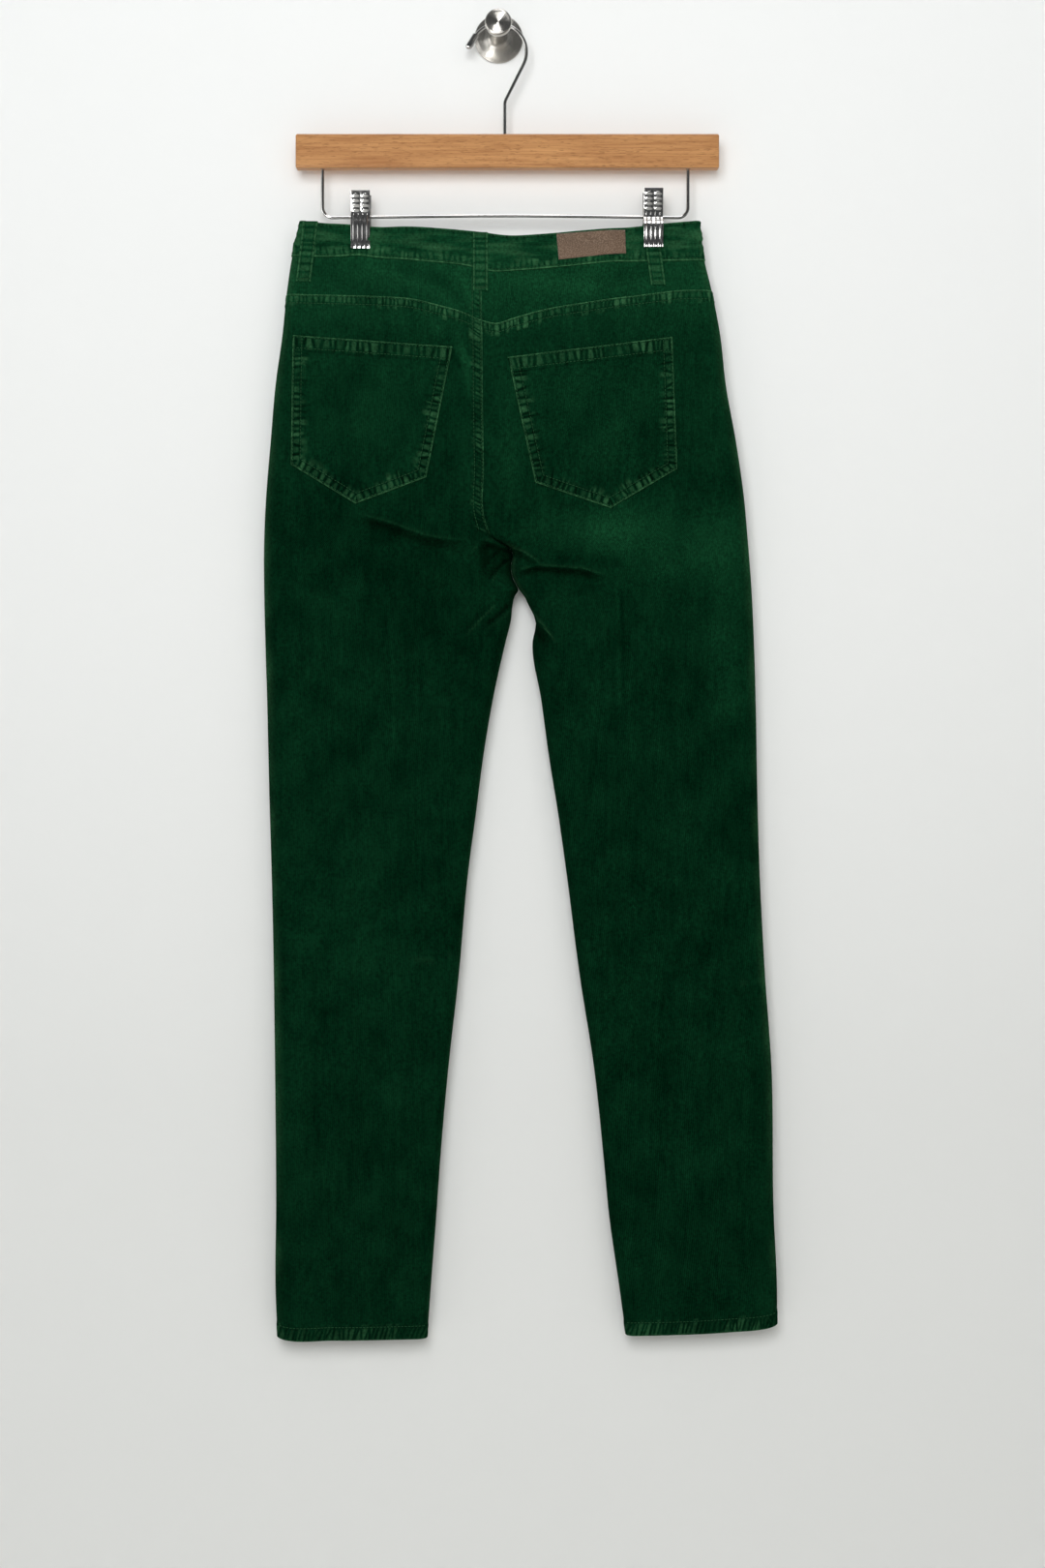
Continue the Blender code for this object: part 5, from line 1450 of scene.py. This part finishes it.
def rounded_path(corners, radii):
    """Flat path through corners (x, drop), each inner corner replaced by an arc of its radius."""
    corners = [np.array(corner, float) for corner in corners]
    path = [corners[0]]
    for before, corner, after, radius in zip(corners, corners[1:], corners[2:], radii):
        into = (corner - before) / np.linalg.norm(corner - before)
        out = (after - corner) / np.linalg.norm(after - corner)
        turn = math.acos(float(np.clip(into @ out, -1, 1)))
        reach = radius * math.tan(turn / 2)
        side = np.array([-into[1], into[0]]) * np.sign(into[0] * out[1] - into[1] * out[0])
        centre = corner - into * reach + side * radius
        for angle in np.linspace(0, turn, BEND_STEPS + 1):
            path.append(centre - side * radius * math.cos(angle) + into * radius * math.sin(angle))
    path.append(corners[-1])
    return np.array(path)


def wire(name, path, radius, node, sides=18, domed=False):
    """Circle of a radius carried along a flat path (x, drop) in the hanging plane."""
    radii = np.full(len(path), radius)
    if domed:
        turn = np.linspace(0, math.pi / 2, 9)[1:]
        onward = (path[-1] - path[-2]) / np.linalg.norm(path[-1] - path[-2])
        start = path[-1] - onward * radius
        path = np.concatenate([path[:-1], [start], start + onward * radius * np.sin(turn)[:, None]])
        domes = radius * np.maximum(np.cos(turn), 0.03)
        radii = np.concatenate([np.full(len(path) - len(turn), radius), domes])
    run = np.gradient(path, axis=0)
    run /= np.linalg.norm(run, axis=1, keepdims=True)
    across = np.stack([-run[:, 1], np.zeros(len(run)), -run[:, 0]], axis=1)
    centres = np.stack([path[:, 0], np.full(len(path), HANG_PLANE), -path[:, 1]], axis=1)
    angles = np.linspace(0, 2 * math.pi, sides, endpoint=False)[:, None]
    spoke = np.cos(angles) * across[:, None] + np.sin(angles) * np.array([0.0, 1.0, 0.0])
    rings = centres[:, None] + radii[:, None, None] * spoke
    item = add_mesh(name, rings.reshape(-1, 3), closed_rings(rings), NICKEL, "bright_steel")
    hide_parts(node)


angles = np.linspace(math.radians(HOOK_TIP_ANGLE), math.atan2(*HOOK_LEAN), 90)
arc = np.stack([HOOK_RADIUS * np.cos(angles), HOOK_CENTRE_DROP - HOOK_RADIUS * np.sin(angles)], axis=1)
leave, lean = arc[-1], np.array(HOOK_LEAN)
corner = leave + lean * (HOOK_SHANK_X - leave[0]) / lean[0]
shank = rounded_path([leave, corner, (HOOK_SHANK_X, BAR_TOP + 1.0)], [HOOK_BEND_RADIUS])
wire("hook_wire_bent", np.concatenate([arc, shank[1:]]), WIRE_RADIUS, "hook_wire")
toward_tip = (arc[0] - arc[1]) / np.linalg.norm(arc[0] - arc[1])
wire("hook_tip_cap", np.array([arc[0] + toward_tip * s for s in (-2.4, 4.0, TIP_LENGTH + 0.8)]), TIP_RADIUS,
     "hook_tip", 32, True)
foot = BAR_TOP + BAR_HEIGHT - 1.0
arch = ((WIRE_LEFT + WIRE_RIGHT) / 2, WIRE_DROP - WIRE_ARCH)
bail = rounded_path([(WIRE_LEFT, foot), (WIRE_LEFT, WIRE_DROP), arch, (WIRE_RIGHT, WIRE_DROP),
                     (WIRE_RIGHT, foot)], [WIRE_BEND_RADIUS, WIRE_ARCH_RADIUS, WIRE_BEND_RADIUS])
wire("trouser_wire_bent", bail, WIRE_RADIUS, "trouser_wire")
print("wires:", triangles_in("hook", "trouser_wire"), "triangles")

# %% [markdown]
# ### Clips
#
# Each jaw of a clip is one stamping of thin sheet. From the side it is a bent line: flared at the top for
# the thumb, pressed in at the spring barrel, and flared again at the lip. From the front it has two columns
# of four pressed bumps for grip, then four lengthwise ribs that widen into teeth at the lip. The bent line
# carried across gives the jaw, and bumps and ribs are added to its outer face. The barrel is a tube round
# the trouser wire.

# %% Clip jaws and barrels
CLIP_WIDTH, CLIP_WALL, CLIP_BARREL_RADIUS, WALL_SIDE_GRIP = 17.3, 0.9, 4.3, 4.9
JAW_TOP_FLARE, JAW_NECK_FLARE, JAW_NECK_DROP = 4.2, 1.6, 12.0
JAW_LIP_FLARE, JAW_LIP_HEIGHT = 1.6, 4.0
BUMP_SIZE, BUMP_HEIGHT = (2.7, 1.45), 0.9       # half width and half height of a bump, and its height
BUMP_COLUMNS, BUMP_ROWS = (-0.235, 0.235), (0.075, 0.155, 0.235, 0.315)     # shares of the jaw's size
RIB_HALF_WIDTH, RIB_HEIGHT = 0.95, 0.75
RIB_COLUMNS = (-0.345, -0.115, 0.115, 0.345)
BARREL_SIDES, BARREL_BORE, BARREL_INSET = 48, WIRE_RADIUS + 0.2, 1.0


def stamped(x, drop, top, lip):
    """Height of the pressed pattern: bumps in the upper third, ribs below that widen at the lip."""
    share = (drop - top) / (lip - top)
    height = np.zeros(x.shape)
    for column in BUMP_COLUMNS:
        for row in BUMP_ROWS:
            off_x = (x - column * CLIP_WIDTH) / BUMP_SIZE[0]
            off_drop = (share - row) * (lip - top) / BUMP_SIZE[1]
            height += BUMP_HEIGHT * np.exp(-(off_x ** 4) - off_drop ** 2 * 1.4)
    spread_out = RIB_HALF_WIDTH * (1 + 1.2 * eased(share, 0.86, 0.97))
    for column in RIB_COLUMNS:
        rib = 0.5 + 0.5 * np.cos(np.pi * np.clip((x - column * CLIP_WIDTH) / spread_out, -1, 1))
        height += RIB_HEIGHT * rib * eased(share, 0.38, 0.41) * (1 - 0.4 * eased(share, 0.93, 0.97))
    return height


def make_jaw(name, clip_x, top, lip, grip, out, pattern):
    """Sheet jaw on one face of the garment: out is -1 at the back and 1 on the wall's side."""
    pivot = CLIP_BARREL_RADIUS + SEAM_GAP
    bent = smooth([(top, pivot + JAW_TOP_FLARE), (top + JAW_NECK_DROP, pivot + JAW_NECK_FLARE),
                   (WIRE_DROP - CLIP_BARREL_RADIUS, pivot), (WIRE_DROP + 1, pivot), (WIRE_DROP + 5, grip),
                   (lip - JAW_LIP_HEIGHT, grip), (lip - JAW_LIP_HEIGHT / 2, grip + JAW_LIP_FLARE / 2.4),
                   (lip, grip + JAW_LIP_FLARE)])
    rows, columns = (120, 92) if pattern else (48, 12)
    drop = np.broadcast_to(np.linspace(top, lip, rows)[:, None], (rows, columns))
    local = np.broadcast_to(CLIP_WIDTH * np.linspace(-0.5, 0.5, columns), drop.shape)
    near = bent(drop)
    press = stamped(local, drop, top, lip) if pattern else 0 * local
    corner_round = 0.35 * (1 - rounding(CLIP_WIDTH / 2 - np.abs(local), 0.6))
    inner = np.stack([clip_x + local, HANG_PLANE + out * near, -drop], axis=-1)
    outer = inner + np.stack([0 * near, out * (CLIP_WALL + press - corner_round), 0 * near], axis=-1)
    if out > 0:
        outer, inner = outer[:, ::-1], inner[:, ::-1]
    points = np.concatenate([outer.reshape(-1, 3), inner.reshape(-1, 3)])
    item = add_mesh(f"{name}_sheet", points, wall_faces(rows, columns), NICKEL, "bright_steel")
    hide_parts(name)


def wire_height(x):
    """Drop of the trouser wire's centre line where a clip sits on it."""
    middle = (WIRE_LEFT + WIRE_RIGHT) / 2
    return WIRE_DROP - WIRE_ARCH * (1 - abs(x - middle) / (middle - WIRE_LEFT))


def make_barrel(name, clip_x):
    """Open tube round the trouser wire: four rings, of its bore and its outside at both ends."""
    angles = np.linspace(0, 2 * math.pi, BARREL_SIDES, endpoint=False)
    half = CLIP_WIDTH / 2 - BARREL_INSET
    corners = [(BARREL_BORE, -half), (CLIP_BARREL_RADIUS, -half), (CLIP_BARREL_RADIUS, half),
               (BARREL_BORE, half)]
    rings = [np.stack([np.full(BARREL_SIDES, clip_x + along), HANG_PLANE + radius * np.cos(angles),
                       -wire_height(clip_x) + radius * np.sin(angles)], axis=-1) for radius, along in corners]
    number = np.arange(4 * BARREL_SIDES).reshape(4, BARREL_SIDES)
    faces = []
    for near, far in zip(number, np.roll(number, -1, axis=0)):
        faces += np.stack([near, np.roll(near, -1), np.roll(far, -1), far], axis=-1).tolist()
    return add_mesh(name, np.concatenate(rings), faces, NICKEL, "bright_steel")


for side, clip_x, top, lip, back_grip in CLIPS:
    make_jaw(f"clip_{side}_front_jaw", clip_x, top, lip, back_grip, -1, True)
    make_jaw(f"clip_{side}_wall_jaw", clip_x, top, lip, WALL_SIDE_GRIP, 1, False)
    barrel = make_barrel(f"clip_{side}_barrel_tube", clip_x)
    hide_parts(f"clip_{side}_barrel")
print("clips:", triangles_in("clip"), "triangles")

# %% [markdown]
# ## Wall knob and waist button
#
# Both are turned: a profile spun about an axis. The knob was cut on a lathe from steel bar, and the tool left
# rings round its axis. Each ring's two flanks lean inward and outward, so disc and plate reflect a narrow pane
# of light all along one line through their centre: the bright hourglass of turned metal. The rings are a wave
# of the distance from the axis, so they need no map. The stem is polished, so it mirrors the pale wall.

# %% Turned steel
# Distance from the wall and radius.
KNOB_STEM = [(3.0, 19.0), (3.4, 15.0), (4.4, 11.5), (6.5, 8.9), (9.5, 7.5), (14.0, 6.7), (20.0, 6.2),
             (30.0, 5.8), (42.3, 5.8)]
KNOB_PLATE = [(0, 21.4), (0.4, 21.9), (1.7, 21.9), (2.2, 21.6), (2.6, 20.9), (2.7, 19.6)]
KNOB_DISC = [(42.5, 5.4), (42.8, 9.0), (43.1, 11.1), (43.5, 11.7), (44.0, 11.8), (48.5, 11.8), (49.3, 11.6),
             (49.7, 11.2), (49.9, 10.5), (50.0, 9.9), (49.8, 9.5), (49.6, 8.8), (49.6, 5.0), (49.5, 2.0),
             (49.5, 0.3)]
RING_TILT = 0.5             # slope of a ring's flanks, stronger than the real one, so that it shows from afar
BUTTON_SHANK, BUTTON_FROM_EDGE = 4.0, 13.0
# Distance from the garment and radius.
BUTTON_PROFILE = [(0.1, 0.3), (0.1, BUTTON_SHANK), (1.4, BUTTON_SHANK), (1.7, 7.9), (2.6, 8.5), (3.2, 8.3),
                  (3.7, 7.4), (4.0, 6.2), (3.7, 5.4), (3.3, 4.8), (3.3, 0.3)]


def make_turned(name, pitch_mm, colour, axis_x, axis_drop, roughness):
    """Fine rings about an axis along y: they tilt the normal to and fro along the profile.

    A bump of such fine rings fades out when the piece is seen from afar, so the tilt is worked out here.
    """
    material, tree, shader = start_material(name, roughness, 1.0)
    place = add(tree, "TexCoord").outputs["Object"]
    centred = add(tree, "VectorMath", {0: place, 1: (-axis_x * MM, 0.0, axis_drop * MM)}, operation="ADD")
    flat = add(tree, "VectorMath", {0: centred.outputs["Vector"], 1: (1.0, 0.0, 1.0)}, operation="MULTIPLY")
    radius = add(tree, "VectorMath", {0: flat.outputs["Vector"]}, operation="LENGTH").outputs["Value"]
    depth_in = add(tree, "SeparateXYZ", {"Vector": place}).outputs["Y"]
    run = add(tree, "Math", {0: radius, 1: depth_in}, operation="ADD").outputs[0]
    rings = add(tree, "Math", {0: run, 1: 2 * math.pi / (pitch_mm * MM)}, operation="MULTIPLY").outputs[0]
    wave = add(tree, "Math", {0: rings}, operation="SINE").outputs[0]
    along_y = (0.0, 1.0, 0.0)
    around = add(tree, "VectorMath", {0: flat.outputs["Vector"], 1: along_y}, operation="CROSS_PRODUCT")
    circle = add(tree, "VectorMath", {0: around.outputs["Vector"]}, operation="NORMALIZE").outputs["Vector"]
    normal = add(tree, "NewGeometry").outputs["Normal"]
    profile = add(tree, "VectorMath", {0: circle, 1: normal}, operation="CROSS_PRODUCT").outputs["Vector"]
    # Only the faces that lie across the axis keep their rings.
    facing = add(tree, "SeparateXYZ", {"Vector": normal}).outputs["Y"]
    flatness = add(tree, "Math", {0: facing}, operation="ABSOLUTE").outputs[0]
    ringed = add(tree, "Math", {0: flatness, 1: RING_TILT}, operation="MULTIPLY").outputs[0]
    tilt = add(tree, "Math", {0: wave, 1: ringed}, operation="MULTIPLY").outputs[0]
    push = add(tree, "VectorMath", {0: profile, "Scale": tilt}, operation="SCALE").outputs["Vector"]
    tilted = add(tree, "VectorMath", {0: normal, 1: push}, operation="ADD").outputs["Vector"]
    unit = add(tree, "VectorMath", {0: tilted}, operation="NORMALIZE").outputs["Vector"]
    feed(tree, shader, {"Base Color": linear(colour), "Normal": unit})
    return material


def revolve(name, profile, centre, out, material, node, segments=112):
    """Profile of (distance along y, radius) spun about an axis along y through the centre."""
    angles = np.linspace(0, 2 * math.pi, segments, endpoint=False)
    rings = np.array([np.stack([radius * np.cos(angles), np.full(segments, out * reach),
                                radius * np.sin(angles)], axis=-1) for reach, radius in profile])
    rings += np.asarray(centre, float)
    item = add_mesh(name, rings.reshape(-1, 3), closed_rings(rings), material, "turned_steel")
    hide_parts(node)


reach = np.concatenate([np.linspace(3.0, 9.0, 44), np.linspace(10.0, 42.3, 22)])
flare = list(zip(reach, smooth(KNOB_STEM)(reach)))
revolve("wall_knob_turned", KNOB_PLATE + flare + KNOB_DISC, (0, 0, 0), -1,
        make_turned("turned_steel_knob", 0.45, "#b4b1ab", 0, 0, 0.25), "wall_knob")
button_x = float(CENTRE["front_middle"](205.0)) - BUTTON_FROM_EDGE
button_drop = float(FRONT_WAIST_TOP(button_x) + FRONT_WAIST_SEAM(button_x)) / 2
button_y = HANG_PLANE + float(depth(np.array(button_x), np.array(button_drop), "front")) + BAND_RAISE
revolve("waist_button_turned", BUTTON_PROFILE, (button_x, button_y, -button_drop), 1,
        make_turned("antique_button", 0.7, "#8f8a80", button_x, button_drop, 0.35), "waist_button", 64)
print("knob", made_triangles["wall_knob_turned"], "button", made_triangles["waist_button_turned"])

# %% [markdown]
# ## Room and light
#
# The jeans hang on a pale plastered wall, which is painted a little greyer below the seat, as painted shade
# where the light falls off towards the floor. The light is soft and comes almost from where the camera
# stands, a little from the left, so it throws only faint, close shadows.
# A mirror shows what is around it, so bright metal needs a room of its own: dark behind the camera, with three
# bright panes, low on the left, beside and overhead. Those lamps show in shiny things and light nothing else,
# and the broad lamps light everything but don't show there. The wall is shown only from its front, so the
# other face of the jeans can be looked at too, and it casts no shadow, so lamps behind it light that face.
# The camera stands 2.1 m away, level, opposite the middle of the garment.

# %% Wall, floor, lamps and camera
WALL_Y, FLOOR_Z, ROOM, CEILING_Z = 0.6, -1450.0, 4000, 2500
CAMERA_PLACE, CAMERA_LENS = (0.0214, -2.120, -0.6707), 54.04
# Columns: name, place and target in metres, size, watts, colour, and whether it shows only in shiny things.
LAMPS = [
    ("window", (-0.25, -2.3, 0.1), (0.0, 0.0, -0.45), 1.1, 32.5, "#fbfdff", False),
    ("room", (0.8, -2.6, 0.1), (0.0, 0.0, -0.6), 2.0, 12.0, "#fffdf8", False),
    ("pane", (-0.86, -1.7, -0.8), (0.0, 0.0, -0.1), 0.7, 30.0, "#ffffff", True),
    ("top_pane", (0.1, -0.6, 1.3), (0.0, 0.0, -0.1), 0.8, 18.0, "#ffffff", True),
    ("side_pane", (-2.4, -0.6, -0.3), (0.0, 0.0, -0.2), 1.4, 22.0, "#ffffff", True),
    ("behind_left", (-1.6, 2.0, 0.4), (0.0, 0.0, -0.5), 1.6, 24.0, "#ffffff", False),
    ("behind_right", (1.8, 1.8, -0.2), (0.0, 0.0, -0.5), 1.6, 17.0, "#ffffff", False),
]


def make_plaster(name, colour, one_sided):
    """Matt coat with a faint roller texture. A one-sided coat lets through what is seen from behind,
    and is darker towards the floor, as painted shade.
    """
    material, tree, shader = start_material(name, 0.9)
    place = add(tree, "TexCoord").outputs["Object"]
    stipple = add(tree, "TexNoise", {"Vector": place, "Scale": feature(4.0), "Detail": 3.0}).outputs["Fac"]
    bump = add(tree, "Bump", {"Strength": 0.08, "Distance": 0.3 * MM, "Height": stipple})
    feed(tree, shader, {"Base Color": linear(colour), "Normal": bump.outputs["Normal"]})
    if one_sided:
        # Painted shade: the wall is darker towards the floor, where less light falls.
        height = add(tree, "MapRange", {"Value": add(tree, "SeparateXYZ", {"Vector": place}).outputs["Z"],
                                        "From Min": -0.95, "From Max": 0.1}).outputs["Result"]
        painted_falloff = add(tree, "MixRGB", {0: height, 1: linear("#e4e4e1"), 2: linear(colour)}).outputs[0]
        feed(tree, shader, {"Base Color": painted_falloff})
        behind = add(tree, "NewGeometry").outputs["Backfacing"]
        clear = add(tree, "BsdfTransparent").outputs["BSDF"]
        mixed = add(tree, "MixShader", {0: behind, 1: shader.outputs["BSDF"], 2: clear}).outputs["Shader"]
        tree.links.new(mixed, tree.nodes["Material Output"].inputs["Surface"])
    return material


def flat_plane(name, corners, material):
    """Four-cornered plane of the room."""
    mesh = bpy.data.meshes.new(name)
    mesh.from_pydata(np.array(corners, float) * MM, [], [(0, 1, 2, 3)])
    mesh.materials.append(material)
    item = bpy.data.objects.new(name, mesh)
    bpy.context.scene.collection.objects.link(item)
    return item


wall = flat_plane("wall", [(-ROOM, WALL_Y, FLOOR_Z), (ROOM, WALL_Y, FLOOR_Z), (ROOM, WALL_Y, CEILING_Z),
                           (-ROOM, WALL_Y, CEILING_Z)], make_plaster("wall_paint", "#fafaf8", True))
wall.visible_shadow = False
flat_plane("floor", [(-ROOM, -5000, FLOOR_Z), (ROOM, -5000, FLOOR_Z), (ROOM, 5000, FLOOR_Z),
                     (-ROOM, 5000, FLOOR_Z)], make_plaster("floor_paint", "#dcdbd7", False))


def area_lamp(name, place, target, size, power, colour, mirrored):
    """Square lamp at a place in metres, turned to a target. A mirrored one shows only in shiny things."""
    lamp = bpy.data.lights.new(name, "AREA")
    lamp.size, lamp.energy, lamp.color = size, power, linear(colour)[:3]
    item = bpy.data.objects.new(name, lamp)
    item.location = place
    away = np.subtract(place, target)
    item.rotation_euler = (math.atan2(math.hypot(away[0], away[1]), away[2]), 0,
                           math.atan2(away[1], away[0]) + math.pi / 2)
    item.visible_camera, item.visible_glossy, item.visible_diffuse = False, mirrored, not mirrored
    bpy.context.scene.collection.objects.link(item)


for lamp in LAMPS:
    area_lamp(*lamp)

world = bpy.data.worlds.new("pale_room")
bpy.context.scene.world = world
world.use_nodes = True
sky = world.node_tree
seen, mirrored = [add(sky, "LightPath").outputs[ray] for ray in ("Is Camera Ray", "Is Glossy Ray")]
dim, dark, pale = [add(sky, "Background", {"Color": linear(colour), "Strength": power}).outputs["Background"]
                   for colour, power in (("#dfe3e6", 0.34), ("#dfe3e6", 0.12), ("#e2e2df", 1.0))]
unseen = add(sky, "MixShader", {0: mirrored, 1: dim, 2: dark}).outputs["Shader"]
mixed = add(sky, "MixShader", {0: seen, 1: unseen, 2: pale}).outputs["Shader"]
sky.links.new(mixed, sky.nodes["World Output"].inputs["Surface"])

camera = bpy.data.cameras.new("camera")
camera.lens, camera.sensor_width = CAMERA_LENS, 36.0
eye = bpy.data.objects.new("camera", camera)
eye.location, eye.rotation_euler = CAMERA_PLACE, (math.pi / 2, 0, 0)
bpy.context.scene.collection.objects.link(eye)
bpy.context.scene.camera = eye
bpy.context.scene.view_settings.view_transform = "Standard"

# %% Sizes and finish
for name, (width, length, area) in cut_sizes.items():
    print(f"{name}: {width} x {length} mm, {area} square cm of {'suede' if 'label' in name else 'corduroy'}")
print("triangles in all:", sum(made_triangles.values()), "largest:", max(made_triangles.values()))
